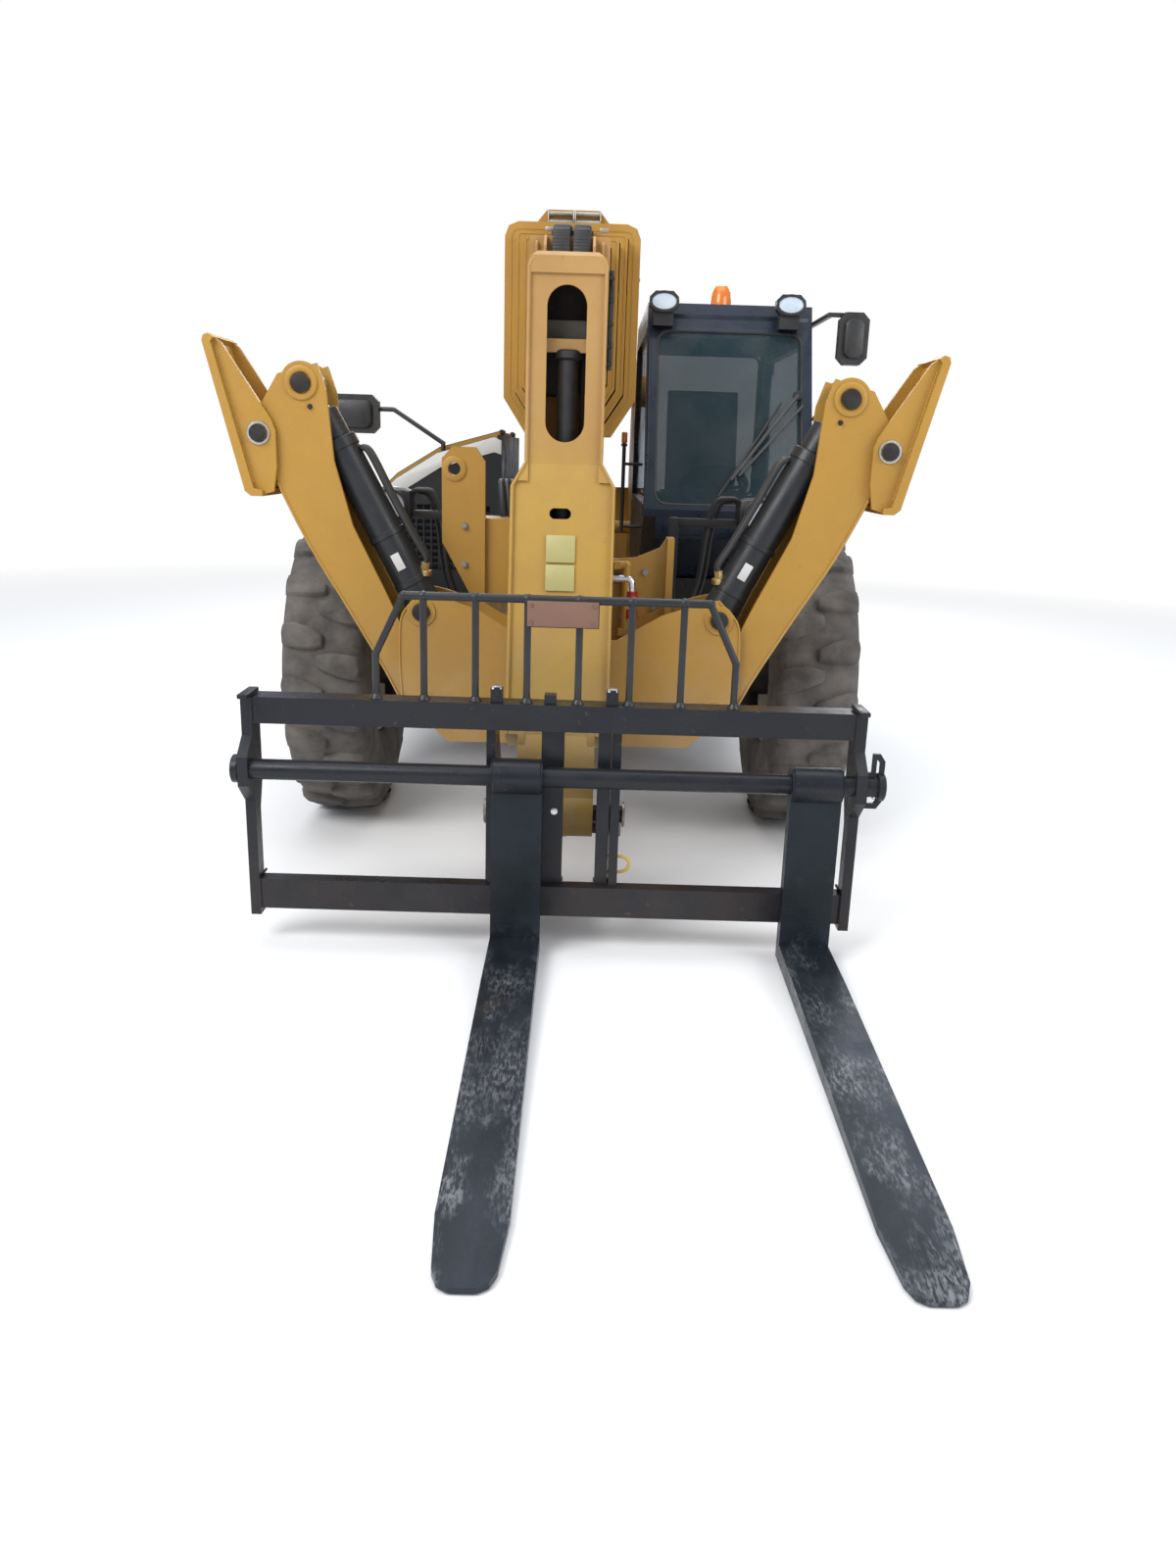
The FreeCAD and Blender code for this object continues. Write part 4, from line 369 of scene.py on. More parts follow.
finishes = ((yellow, "chassis counterweight boom leg foot engine_hood"), (ochre, "boom_nose"), (rubber, "tyre"),
            (rim_paint, "rim"), (dark, "knuckle axle engine_block"), (steel, "fork"), (rail_black, "carriage"),
            (shiny, "lift_rod tilt_rod stab_rod"), (black, "load_guard"), (frame_black, "cab"),
            (pane, "cab_glass door_glass"), (cloth, "seat"), (amber, "beacon tail_lamps"),
            (plastic, "console steering_wheel mirrors cab_lamps headlamps"))
finish_of = {part: finish for finish, parts in finishes for part in parts.split()}
for name, solid in nodes.items():
    parts = [part for part in finish_of if name == part or name.startswith(part + "_")]
    chosen = finish_of[max(parts, key=len)] if parts else black
    for place in solid.material_slots:
        place.material = chosen
print(len(nodes), "solids finished")

# %% [markdown]
# The record's material slots are printed.

# %% Slots
print("slots", sorted({m["slot"] for m in record["materials"]}))

# %% [markdown]
# The small things are all cut, turned, bent or cast on the real machine, so a few ways of shaping are enough:
# blocks and plates with eased edges, turned parts, and pipes bent along a line. Sizes are in millimetres,
# counted from the front axle and the ground, as on a drawing.

# %% Ways of shaping
SHARP = 0.6
FACING = {"X": lambda a, b, t: at(t, a, b), "Y": lambda a, b, t: at(a, t, b), "Z": lambda a, b, t: at(a, b, t)}
TURNS = {"X": Matrix.Rotation(math.pi / 2, 4, "Y"), "Y": Matrix.Rotation(-math.pi / 2, 4, "X"), "Z": Matrix()}
OTHER_SIDE = Matrix.Diagonal((-1, 1, 1, 1))
FORWARD, UP = Vector((0, -1, 0)), Vector((0, 0, 1))
HALF_TRACK, HUB_LEVEL, WHEELBASE = 1057.5, 685, 3200
SIDES, AXLES = (("left", 1), ("right", -1)), (("front", 0), ("rear", WHEELBASE))
mid = -35  # the boom's middle
pieces = []


def at(x, y, z):
    """A place in the frame's metres."""
    return Vector((x / 1000, y / 1000 + front_axle, z / 1000))


def circle(count, radius=1):
    """Places round a circle."""
    turns = [math.tau * k / count for k in range(count)]
    return [(radius * math.cos(turn), radius * math.sin(turn)) for turn in turns]


def smooth_line(points, steps):
    """More points along a bent line, so that it has no kinks."""
    ends = [points[0] * 2 - points[1]] + list(points) + [points[-1] * 2 - points[-2]]
    line = []
    for a, b, c, d in zip(ends, ends[1:], ends[2:], ends[3:]):
        for step in range(steps):
            t = step / steps
            square, cube = 2 * a - 5 * b + 4 * c - d, 3 * b - a - 3 * c + d
            line.append(0.5 * (2 * b + (c - a) * t + square * t ** 2 + cube * t ** 3))
    return line + [points[-1]]


def wall(part, near, far):
    """Faces between two closed rings of corners."""
    for i in range(len(near)):
        j = (i + 1) % len(near)
        part.faces.new((near[i], near[j], far[j], far[i]))


class Form:
    """One piece of the machine, built up from simple shapes in one finish."""

    def __init__(self, name, finish, body="chassis"):
        self.name, self.finish, self.body, self.mesh = name, finish, body, bmesh.new()

    def add(self, part, ease=0):
        """Takes over a shape and eases its sharp edges."""
        bmesh.ops.recalc_face_normals(part, faces=part.faces)
        if ease:
            edges = [e for e in part.edges if e.is_manifold and e.calc_face_angle(0) > SHARP]
            bmesh.ops.bevel(part, geom=edges, offset=ease / 1000, affect="EDGES", segments=2, profile=0.5,
                            material=-1, clamp_overlap=True)
        copy = bpy.data.meshes.new("part")
        part.to_mesh(copy)
        part.free()
        self.mesh.from_mesh(copy)
        bpy.data.meshes.remove(copy)
        return self

    def block(self, low, high, ease=3):
        """A box between two corners."""
        low, high = at(*low), at(*high)
        part = bmesh.new()
        stretch = Matrix.Diagonal((*(high - low), 1))
        bmesh.ops.create_cube(part, size=1, matrix=Matrix.Translation((low + high) / 2) @ stretch)
        return self.add(part, ease)

    def prism(self, outline, facing, low, high):
        """An outline given thickness. It faces X (y, z), Y (x, z) or Z (x, y)."""
        part = bmesh.new()
        rings = [[part.verts.new(FACING[facing](a, b, t)) for a, b in outline] for t in (low, high)]
        for ring in rings:
            part.faces.new(ring)
        wall(part, *rings)
        return part

    def plate(self, outline, facing, low, high, ease=2):
        """A flat plate with eased edges."""
        return self.add(self.prism(outline, facing, low, high), ease)

    def ring_plate(self, outer, inner, facing, low, high):
        """A frame between an outer and an inner outline with as many corners."""
        part = bmesh.new()
        rings = [[part.verts.new(FACING[facing](a, b, t)) for a, b in line]
                 for line in (outer, inner) for t in (low, high)]
        for i in range(len(outer)):
            j = (i + 1) % len(outer)
            for a, b in ((0, 1), (1, 3), (3, 2), (2, 0)):
                part.faces.new((rings[a][i], rings[a][j], rings[b][j], rings[b][i]))
        return self.add(part)

    def turned(self, profile, place, axis="X", sides=32):
        """A turned part: pairs of distance along the axis and radius."""
        turn = TURNS[axis] if isinstance(axis, str) else axis.to_track_quat("Z", "Y").to_matrix().to_4x4()
        part = bmesh.new()
        rings = []
        for along, radius in profile:
            spots = circle(sides, radius / 1000) if radius else [(0, 0)]
            rings.append([part.verts.new((a, b, along / 1000)) for a, b in spots])
        for near, far in zip(rings, rings[1:]):
            for i in range(sides):
                j = (i + 1) % sides
                corners = [near[i % len(near)], near[j % len(near)], far[j % len(far)], far[i % len(far)]]
                part.faces.new(list(dict.fromkeys(corners)))
        for ring in (rings[0], rings[-1]):
            if len(ring) > 1 and profile[0] != profile[-1]:
                part.faces.new(ring)
        bmesh.ops.remove_doubles(part, verts=part.verts, dist=1e-6)
        bmesh.ops.transform(part, matrix=Matrix.Translation(at(*place)) @ turn, verts=part.verts)
        return self.add(part)

    def bar(self, start, finish, radius, sides=20):
        """A round bar between two places, with eased ends."""
        line, ease = at(*finish) - at(*start), 1.5
        long = line.length * 1000
        profile = [(0, radius - ease), (ease, radius), (long - ease, radius), (long, radius - ease)]
        return self.turned(profile, start, line.normalized(), sides)

    def pipe(self, points, radius, sides=12, steps=6):
        """A hose or pipe bent along some places: smoothly, or in straight lengths with one step."""
        line = smooth_line([at(*place) for place in points], steps)
        part = bmesh.new()
        rings, side = [], None
        for i, point in enumerate(line):
            way = (line[min(i + 1, len(line) - 1)] - line[max(i - 1, 0)]).normalized()
            side = way.orthogonal() if side is None else side - way * side.dot(way)
            side = side.normalized()
            other = way.cross(side)
            spots = [point + (side * a + other * b) * radius / 1000 for a, b in circle(sides)]
            rings.append([part.verts.new(spot) for spot in spots])
        for near, far in zip(rings, rings[1:]):
            wall(part, near, far)
        part.faces.new(rings[0])
        part.faces.new(rings[-1])
        return self.add(part)

    def nut(self, place, axis, across=18, thick=10):
        """A hexagon head on a washer."""
        way = Vector(axis)
        turn = way.to_track_quat("Z", "Y").to_matrix().to_4x4()
        for sides, radius, low, high in ((16, across * 0.75, 0, 3), (6, across * 0.577, 3, 3 + thick)):
            part = bmesh.new()
            middle = Matrix.Translation(at(*place) + way * (low + high) / 2000)
            bmesh.ops.create_cone(part, cap_ends=True, segments=sides, radius1=radius / 1000,
                                  radius2=radius * 0.97 / 1000, depth=(high - low) / 1000, matrix=middle @ turn)
            self.add(part)
        return self

    def mirror(self):
        """Moves the shapes to the machine's other side."""
        bmesh.ops.transform(self.mesh, matrix=OTHER_SIDE, verts=self.mesh.verts)
        bmesh.ops.reverse_faces(self.mesh, faces=self.mesh.faces)

    def done(self, smooth=35):
        """Turns the shapes into a finished object on its body."""
        mesh = bpy.data.meshes.new(self.name)
        self.mesh.to_mesh(mesh)
        self.mesh.free()
        mesh.shade_smooth()
        mesh.set_sharp_from_angle(angle=math.radians(smooth))
        mesh.materials.append(self.finish)
        made = new_object(self.name, mesh)
        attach(made, self.body)
        pieces.append(made)
        return made


print("front axle on the ground", at(0, 0, 0))

# %% [markdown]
# The tyres are cross-ply tyres for rough ground: a rounded carcass with big slanted blocks that start left
# and right of the middle in turn. One carcass and one block are modelled, and the block is repeated round the
# wheel, each time a little different, as worn rubber is.

# %% Tyres
BLOCKS, BLOCK_FOOT, BLOCK_TOP, WEAR = 36, 630, 684, 3
BLOCK = [(-12, -26), (48, -46), (118, -50), (160, -46), (166, 6), (160, 42), (112, 50), (50, 42), (-12, 22)]
CARCASS = [(0, 655), (70, 654), (128, 650), (152, 641), (168, 622), (176, 596), (184, 560), (187, 520),
           (187, 470), (182, 420), (172, 372), (160, 334), (152, 318), (140, 305.6)]


def tyre(name, side, along):
    """One tyre on its axle: side is 1 on the machine's left and -1 on its right."""
    form = Form(name, rubber, "wheel_" + name[len("tread_"):])
    hub = (side * HALF_TRACK, along, HUB_LEVEL)
    other_half = [(-a, r) for a, r in reversed(CARCASS)]
    form.turned(other_half + CARCASS[1:] + other_half[:1], hub, sides=96)
    rest = random.Random(7)
    for number in range(BLOCKS):
        hand = 1 if number % 2 else -1
        turn = Matrix.Rotation(math.tau * number / BLOCKS, 3, "X")
        part = bmesh.new()
        rings = []
        for level, grow in ((BLOCK_FOOT, 7), (BLOCK_TOP, 0)):
            ring = []
            for across_by, along_by in BLOCK:
                a = across_by + rest.uniform(-WEAR, WEAR) + (grow if across_by > 20 else -grow)
                b = along_by * (1 + grow / 55) + (a - 70) * 0.16 + rest.uniform(-WEAR, WEAR)
                reach = level - (16 if a > 150 and grow == 0 else 0) - b * b / 1400
                spot = turn @ Vector((hand * a * side, b * hand, reach))
                ring.append(part.verts.new(at(*hub) + spot / 1000))
            rings.append(ring)
        part.faces.new(rings[1])
        wall(part, *rings)
        bmesh.ops.recalc_face_normals(part, faces=part.faces)
        rim_edges = [e for e in part.edges if e.is_manifold]
        bmesh.ops.bevel(part, geom=rim_edges, offset=0.007, affect="EDGES", segments=1, profile=0.5,
                        material=-1)
        form.add(part)
    made = form.done(50)
    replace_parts(made, name.replace("tread", "tyre"))
    return made


for end, along in AXLES:
    for label, side in SIDES:
        made = tyre(f"tread_{end}_{label}", side, along)
print("tyre of", len(made.data.polygons), "faces, box", [round(v, 3) for v in made.dimensions])

# %% [markdown]
# Hoses come over a roller in the cap on the boom and run down to the head in two black link chains. The head's
# long slot shows a cross bar and a black barrel, and a black sheet at its back is painted shade. Two blank
# plates are fixed to its front.

# %% Boom and head
cap = Form("cap_roller", zinc, "boom_outer")
for low, high in ((mid - 96, mid - 2), (mid + 10, mid + 104)):
    cap.bar((low, -476, 2592), (high, -476, 2592), 9).bar((low, -472, 2562), (high, -472, 2562), 12)
    cap.block((low - 5, -486, 2548), (low, -461, 2604)).block((high, -486, 2548), (high + 5, -461, 2604))
cap.done()
chains = Form("hose_chains", hose_and_shade_black, "boom_nose")
run = [(-1004, 2348), (-1000, 2385), (-988, 2418), (-962, 2448), (-915, 2468), (-850, 2480), (-780, 2490),
       (-712, 2500), (-655, 2512), (-600, 2520), (-522, 2521)]
for (y, z), (back, high) in zip(run, run[1:]):
    for x in (mid - 31, mid + 43):
        for step in range(3):
            t = step / 3
            ly, lz = y + (back - y) * t, z + (high - z) * t
            chains.block((x - 31, ly - 11, lz - 9), (x + 31, ly + 11, lz + 9), 4)
        chains.bar((x - 27, y, z + 7), (x + 27, y, z + 7), 5, 8)
for y in (-900, -700):
    chains.block((mid - 70, y - 14, 2434), (mid + 82, y + 14, 2462 if y < -800 else 2486), 3)
chains.done()
cheeks = Form("head_cheeks", ochre, "boom_nose")
cheek = [(-1030, 2345), (-1030, 2392), (-985, 2432), (-962, 2432), (-962, 2345)]
for x in (mid - 92, mid + 82):
    cheeks.plate(cheek, "X", x, x + 10, 2)
for x in (mid - 118, mid + 118):
    cheeks.pipe([(x, -966, 2412), (x, -972, 2404), (x, -972, 2372)], 6, 8)
cheeks.done()
hose = Form("head_hoses_and_shade_sheet", hose_and_shade_black, "boom_nose")
barrel = [(0, 0), (0, 38), (395, 38), (402, 52), (424, 52), (430, 44), (430, 0)]
hose.turned(barrel, (mid + 6, -1098, 1610), UP)
hose.pipe([(mid + 58, -1060, 2040), (mid + 57, -1066, 1900), (mid + 56, -1060, 1700)], 9, 8)
# A thin black sheet closes the open back of the head above its back wall. It is painted shade, where the hollow
# behind the slot is dark.
hose.block((mid - 122, -941, 1896), (mid + 122, -935, 2330), 2)
hose.done()
Form("head_plate", dull_plate, "boom_nose").block((mid - 118, -1072, 2066), (mid + 118, -1066, 2142), 2).done()
side_hoses = Form("side_hoses", hose_and_shade_black, "boom_nose")
for x, y in ((114, -968), (120, -982)):
    side_hoses.pipe([(x, y, 2322), (x + 2, -975, 2240), (x, -972, 2130), (x + 2, -968, 2040),
                     (x, -962, 1985)], 7)
for level in (2290, 2215, 2135, 2060, 2000):
    side_hoses.block((106, -990, level), (129, -958, level + 12))
side_hoses.done()
labels = Form("head_labels", pale_label, "boom_nose")
nose_foot, nose_slope = (-1380, 700), (1380 - 1200) / (1650 - 700)
for levels in ((1211, 1302), (1310, 1405)):
    (y, z), (back, high) = [(nose_foot[0] + (level - nose_foot[1]) * nose_slope + 8, level) for level in levels]
    labels.plate([(y - 6, z), (back - 6, high), (back + 3, high), (y + 3, z)], "X", -90, 14, 1)
labels.done()
edge = Form("head_rim_welds", ochre, "boom_nose")
for side in (-1, 1):
    near, far = mid + side * 133, mid + side * 181
    edge.pipe([(near, -1199, 2296), (near, -1200, 1658), (far, -1216, 1572), (far, -1380, 702)], 5, 8, 1)
crown = [(133, -1198, 2296), (122, -1197, 2322), (100, -1195, 2330)]
edge.pipe([(mid - x, y, z) for x, y, z in crown] + [(mid + x, y, z) for x, y, z in reversed(crown)], 5, 8, 1)
edge.done()
stops = Form("collar_bolts", zinc, "boom_outer")
for way in (-1, 1):
    for z in (2380, 2060):
        stops.nut((mid + way * 268, -330, z), (way, 0, 0), 14, 5)
stops.done()
wear = Form("slide_marks", zinc, "boom_second")
for x in (-140, 70):
    wear.block((x, -604, 2508), (x + 34, -598, 2524), 1)
wear.done()
pins = Form("boom_pin_heads", dark)
for way in (1, -1):
    pins.turned([(0, 0), (0, 66), (14, 66), (18, 60), (18, 0)], (way * 420, 4040, 2160), Vector((way, 0, 0)))
pins.done()

# %% [markdown]
# The stabiliser legs stand raised in a V. Their pins are dark ends inside raised rings, with a bright ring
# at the foot, and the rams have a band, a gland, two hoses and brass fittings at their lower ends.

# %% Stabilisers
front, ram_y = -1020, -920
leg_x, leg_z, foot_x, foot_z = 1004, 1907, 1160, 1727
ram_foot, ram_top = Vector((569, ram_y, 1090)), Vector((leg_x, ram_y, leg_z))
ram_way = (ram_top - ram_foot).normalized()
ram_out = Vector((ram_way.z, 0, -ram_way.x))
rim_line = [(650, 700), (716, 834), (794, 970), (892, 1137), (966, 1257), (1042, 1397), (1112, 1545)]
ring_shape = [(0, 38), (0, 62), (7, 60), (9, 56), (9, 42), (7, 38), (0, 38)]
bright_shape = [(0, 32), (0, 43), (6, 41), (7, 34), (6, 32), (0, 32)]


def on_ram(along, off=0, ahead=0):
    """A place at a distance along the ram from its foot, off its middle line."""
    return tuple(ram_foot + ram_way * along - ram_out * off + Vector((0, ahead, 0)))


for label, side in SIDES:
    rings = Form(f"leg_rings_{label}", yellow, f"leg_{label}")
    rings.turned(ring_shape, (leg_x, front, leg_z), FORWARD)
    for y in (front - 1, front + 201):
        rings.pipe([(x - 9, y, z + 6) for x, z in rim_line], 5, 8, 2)
    ends = Form(f"leg_pins_{label}", dark, f"leg_{label}")
    ends.turned([(0, 0), (0, 33), (2, 35), (5, 35), (6, 30), (4, 0)], (leg_x, front - 12, leg_z), FORWARD)
    ends.turned([(0, 0), (0, 31), (4, 31), (5, 26), (3, 0)], (foot_x, front - 40, foot_z), FORWARD)
    ends.nut((leg_x - 30, front, leg_z - 82), FORWARD, 13, 7)
    bright = Form(f"foot_rings_{label}", chrome, f"foot_{label}")
    bright.turned(bright_shape, (foot_x, front - 26, foot_z), FORWARD)
    ribs = Form(f"foot_welds_{label}", yellow, f"foot_{label}")
    for y in (front - 26, front + 226):
        ribs.pipe([(1303, y, 2010), (1240, y, 1760), (1187, y, 1550)], 3.5, 8, 1)
    ribs.bar((1190, front - 25, 1512), (1190, front + 225, 1512), 9, 10)
    bands = Form(f"ram_bands_{label}", black, f"stab_barrel_{label}")
    for along, long, radius in ((660, 42, 73), (300, 22, 72), (100, 26, 72)):
        band = [(0, 66), (0, radius - 2), (2, radius), (long - 2, radius), (long, radius - 2), (long, 66)]
        bands.turned(band, on_ram(along), ram_way)
    bands.turned([(0, 36), (0, 56), (4, 59), (108, 59), (112, 55), (112, 36), (0, 36)], on_ram(702), ram_way)
    bands.block(on_ram(626, 92, -22), on_ram(660, 52, 22), 3)
    lines = Form(f"ram_hoses_{label}", hose_and_shade_black, f"stab_barrel_{label}")
    hose_way = ((150, 74), (170, 96), (260, 92), (430, 90), (600, 92), (640, 76))
    for ahead in (-24, 22):
        lines.pipe([on_ram(along, off, ahead) for along, off in hose_way], 12)
    ends_brass = Form(f"ram_fittings_{label}", brass, f"stab_barrel_{label}")
    for ahead in (-24, 22):
        ends_brass.bar(on_ram(120, 58, ahead), on_ram(156, 84, ahead), 15, 6)
        ends_brass.bar(on_ram(110, 60, ahead), on_ram(126, 72, ahead), 19, 12)
    tag = Form(f"ram_labels_{label}", white_and_glare, f"stab_barrel_{label}")
    corners = [on_ram(along, off) for along, off in ((170, 17), (236, 17), (236, -17), (170, -17))]
    tag.plate([(x, z) for x, y, z in corners], "Y", -991, -986, 1)
    for form in (rings, ends, bright, ribs, bands, lines, ends_brass, tag):
        if side < 0:
            form.mirror()
        form.done()
core = Form("frame_pins", dark)
trim = Form("frame_rings", yellow)
frame_rim = ((640, 708), (652, 850), (652, 998), (638, 1085), (569, 1158))
frame_ring = [(0, 34), (0, 56), (6, 54), (6, 38), (5, 34), (0, 34)]
for side in (1, -1):
    for x, z in ((565, 725), (569, 1090)):
        core.turned([(0, 0), (0, 33), (4, 33), (6, 28), (4, 0)], (side * x, front - 45, z), FORWARD)
        trim.turned(frame_ring, (side * x, front - 30, z), FORWARD)
    trim.pipe([(side * x, front - 31, z) for x, z in frame_rim], 4, 8, 3)
core.done()
trim.done()
print(len(pieces), "pieces so far")

# %% [markdown]
# The fork carriage is welded from square tube, round bar and plate in satin black. Its top catches the sky,
# and brown dust lies on the lower rail. Latches with bright tops stop the load guard from sliding.

# %% Carriage
low_x, high_x, shaft_y, shaft_z = mid - 1048, mid + 1048, -1730, 640
bars_x = [mid - 440 + i * 172 for i in range(6)]
collar_shape = [(0, 0), (0, 44), (3, 48), (22, 48), (26, 43), (26, 0)]
work = Form("carriage_trim", rail_black, "carriage")
for x in (low_x + 6, high_x - 41):
    work.block((x, -1756, 882), (x + 35, -1612, 898), 4)
for x in (high_x + 40, low_x - 26):
    work.turned(collar_shape, (x, shaft_y, shaft_z))
for x, wide in ((-239, 22), (148, 22)):
    work.block((x, -1688, 902), (x + wide, -1640, 934), 3)
work.bar((low_x - 30, shaft_y, shaft_z), (low_x - 20, shaft_y, shaft_z), 20)
work.done()
tops = Form("latch_tops", chrome, "carriage")
for x in (-250, 137):
    tops.block((x + 4, -1686, 926), (x + 36, -1642, 937), 2)
tops.bar((high_x + 30, shaft_y, 606), (high_x + 70, shaft_y, 606), 9)
tops.nut((-30, -1662, 500), FORWARD, 16, 9)
tops.done()
seams = Form("carriage_welds", rail_black, "carriage")
for x in (low_x + 35, -77, 0, 116, 160, high_x - 35):
    for z in (239, 786):
        seams.pipe([(x, -1664, z), (x, -1612, z)], 5, 6, 1)
for x in (low_x + 35, high_x - 35):
    for top_z, foot_z in ((238, 130), (878, 794)):
        seams.pipe([(x, -1702, top_z), (x, -1702, foot_z)], 5, 6, 1)
seams.done()
gusset = Form("carriage_gussets", yellow, "boom_nose")
for x in (mid - 140, mid + 112):
    gusset.plate([(-1372, 742), (-1302, 742), (-1330, 660), (-1396, 660)], "X", x, x + 28, 2)
gusset.done()
grease = Form("pin_caps", zinc, "carriage")
for way in (-1, 1):
    outward = Vector((way, 0, 0))
    grease.turned([(0, 0), (0, 46), (8, 46), (10, 40), (10, 0)], (mid + way * 248, -1420, 420), outward)
    grease.turned([(0, 0), (0, 38), (7, 38), (9, 32), (9, 0)], (mid + way * 243, -1228, 309), outward)
grease.done()
bend = ((150, 335), (205, 335), (232, 322), (236, 300), (222, 282), (190, 276), (150, 276))
Form("hose_ring", yellow_bright, "carriage").pipe([(x, -1640, z) for x, z in bend], 6, 8).done()
plate = Form("guard_label", brown_plate, "carriage")
plate.block((mid - 97, -1680, 1139), (mid + 137, -1676, 1223), 1)
for x in (mid - 84, mid + 124):
    for z in (1152, 1210):
        plate.nut((x, -1680, z), FORWARD, 8, 2)
plate.done()
beads = Form("guard_welds", black, "carriage")
for x in bars_x + [mid - 600, mid + 600]:
    beads.turned([(0, 0), (0, 22), (6, 20), (16, 13), (16, 0)], (x, -1660, 880.5), "Z", 12)
for x in bars_x:
    beads.turned([(-13, 13), (-8, 16), (0, 17), (8, 16), (13, 13), (-13, 13)], (x, -1660, 1226), "X", 12)
beads.done()
fork_collar = [(0, 37), (0, 57), (4, 62), (160, 62), (164, 57), (164, 37), (0, 37)]
for label, x in (("left", 850), ("right", -155)):
    forks = Form(f"fork_collar_{label}", rail_black, f"fork_{label}")
    forks.turned(fork_collar, (x - 82, shaft_y, shaft_z))
    forks.pipe([(x - 84, -1706, 575), (x + 84, -1706, 575)], 6, 6, 1)
    forks.done()

# %% [markdown]
# The cab is a black frame with big tinted panes in rubber seals. The driver looks past a two-arm wiper. Oval
# lamps, an orange beacon and a rounded mirror stand outside, and a cushioned seat and a dash stand inside.

# %% Cab
rear_y, sill, roof, inner, outer = 2330, 1430, 2440, 330, 1170
pane_foot, pane_top = sill + 20, roof - 135


def on_screen(x, z, off=0):
    """A place on the windscreen, which leans back."""
    return x, 450 + (z - sill) * 400 / (roof - 120 - sill) + off, z


def rounded(low_x, high_x, bend):
    """The outline of a pane with round corners."""
    low_z, high_z = pane_foot + 2, pane_top - 2
    middles = ((high_x - bend, low_z + bend), (high_x - bend, high_z - bend), (low_x + bend, high_z - bend),
               (low_x + bend, low_z + bend))
    line = []
    for corner, (x, z) in enumerate(middles):
        for step in range(5):
            turn = math.radians(90 * corner - 90 + 22.5 * step)
            line.append((x + bend * math.cos(turn), z + bend * math.sin(turn)))
    return line + line[:1]


seal = Form("window_seals", hose_and_shade_black)
seal.pipe([on_screen(x, z, 10) for x, z in rounded(inner + 52, inner + 788, 60)], 9, 8, 1)
seal.pipe([(x, rear_y - 24, z) for x, z in rounded(inner + 62, inner + 778, 50)], 9, 8, 1)
seal.done()
corner = Form("screen_corners", frame_black)
for x, way in ((inner + 50, 1), (outer - 50, -1)):
    for z, up in ((pane_foot, 1), (pane_top, -1)):
        turns = [math.radians(angle) for angle in range(0, 91, 15)]
        fan = [(x, z)] + [(x + way * 60 * (1 - math.sin(a)), z + up * 60 * (1 - math.cos(a))) for a in turns]
        part = bmesh.new()
        rings = [[part.verts.new(at(*on_screen(a, b, off))) for a, b in fan] for off in (2, 24)]
        for ring in rings:
            part.faces.new(ring)
        wall(part, *rings)
        corner.add(part)
corner.block((inner + 20, 868, roof - 118), (outer - 20, 884, roof - 52), 6)
corner.block((inner + 60, 442, 1290), (outer - 320, 450, 1395), 5)
corner.block((inner + 100, 437, 1310), (inner + 330, 449, 1375), 5)
corner.pipe([(inner + 12, 470, 1440), (inner + 12, 660, 1870), (inner + 12, 860, 2320)], 14, 10, 3)
corner.done()
wiper = Form("wiper", plastic)
wiper.bar(on_screen(1095, 2000, 4), on_screen(1095, 2000, -26), 22, 16)
for places, radius, sides in ((((1095, 2000, -22), (980, 1860, -24), (760, 1580, -16)), 9, 8),
                              (((1120, 1950, -22), (1010, 1830, -24), (800, 1600, -16)), 7, 8),
                              (((1010, 1960, -12), (900, 1790, -12), (700, 1500, -12)), 7, 6)):
    wiper.pipe([on_screen(*place) for place in places], radius, sides, 1)
wiper.done()
lamps = Form("work_lamp_lenses", lamp_lens)
housing = Form("work_lamp_rims", plastic)
for x in (inner + 75, outer - 128):
    outside, inside, lit = [[(x + a * c, roof - 8 + b * s) for c, s in circle(24)]
                            for a, b in ((75, 50), (62, 38), (63, 39))]
    housing.ring_plate(outside, inside, "Y", 762, 776)
    lamps.plate(lit, "Y", 766, 775, 2)
housing.pipe([(inner + 20, 800, roof - 90), (inner + 24, 792, roof - 40), (inner + 60, 800, roof - 20)], 7)
housing.done()
lamps.done()
flash = Form("beacon_top", amber)
beacon_place = (815, 2050, roof)
flash.turned([(18, 0), (18, 62), (40, 64), (150, 64), (200, 58), (236, 38), (248, 0)], beacon_place, "Z")
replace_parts(flash.done(), "beacon")
Form("beacon_foot", plastic).turned([(0.5, 0), (0.5, 65), (18, 65), (17.8, 0)], beacon_place, "Z").done()
post = Form("indicator_post", plastic)
post.pipe([(231, 800, 1290), (231, 800, 1735)], 10, 10)
for level in (1320, 1640):
    post.bar((226, 800, level), (330, 800, level), 8, 10)
post.block((215, 786, 1728), (247, 814, 1742), 3)
post.done()
Form("indicator_lens", amber).block((216, 787, 1742), (246, 813, 1800), 7).done()
mirrors = Form("mirror_glasses", glass_face)
backs = Form("mirror_backs", plastic)
for lx, hx, lz, hz, y in ((1220, 1360, 2130, 2365, 390), (-1360, -1065, 1755, 1950, 910)):
    box = [(lx + 14, lz + 40), (lx + 40, lz + 14), (hx - 40, lz + 14), (hx - 14, lz + 40),
           (hx - 14, hz - 40), (hx - 40, hz - 14), (lx + 40, hz - 14), (lx + 14, hz - 40)]
    mirrors.plate(box, "Y", y + 61, y + 64, 1)
    mx, mz = (lx + hx) / 2, (lz + hz) / 2
    backs.plate([((a - mx) * 0.86 + mx, (b - mz) * 0.86 + mz) for a, b in box], "Y", y - 22, y + 4, 14)
backs.bar((1250, y - 500, 2355), (1250, y - 460, 2355), 12)
mirrors.done()
backs.done()
handles = Form("grab_rails", plastic)
handles.pipe([(1172, 470, 1500), (1196, 480, 1520), (1196, 640, 1860), (1172, 660, 1890)], 12)
handles.pipe([(1172, 2300, 1300), (1194, 2300, 1320), (1194, 2300, 1800), (1172, 2300, 1820)], 12)
handles.done()
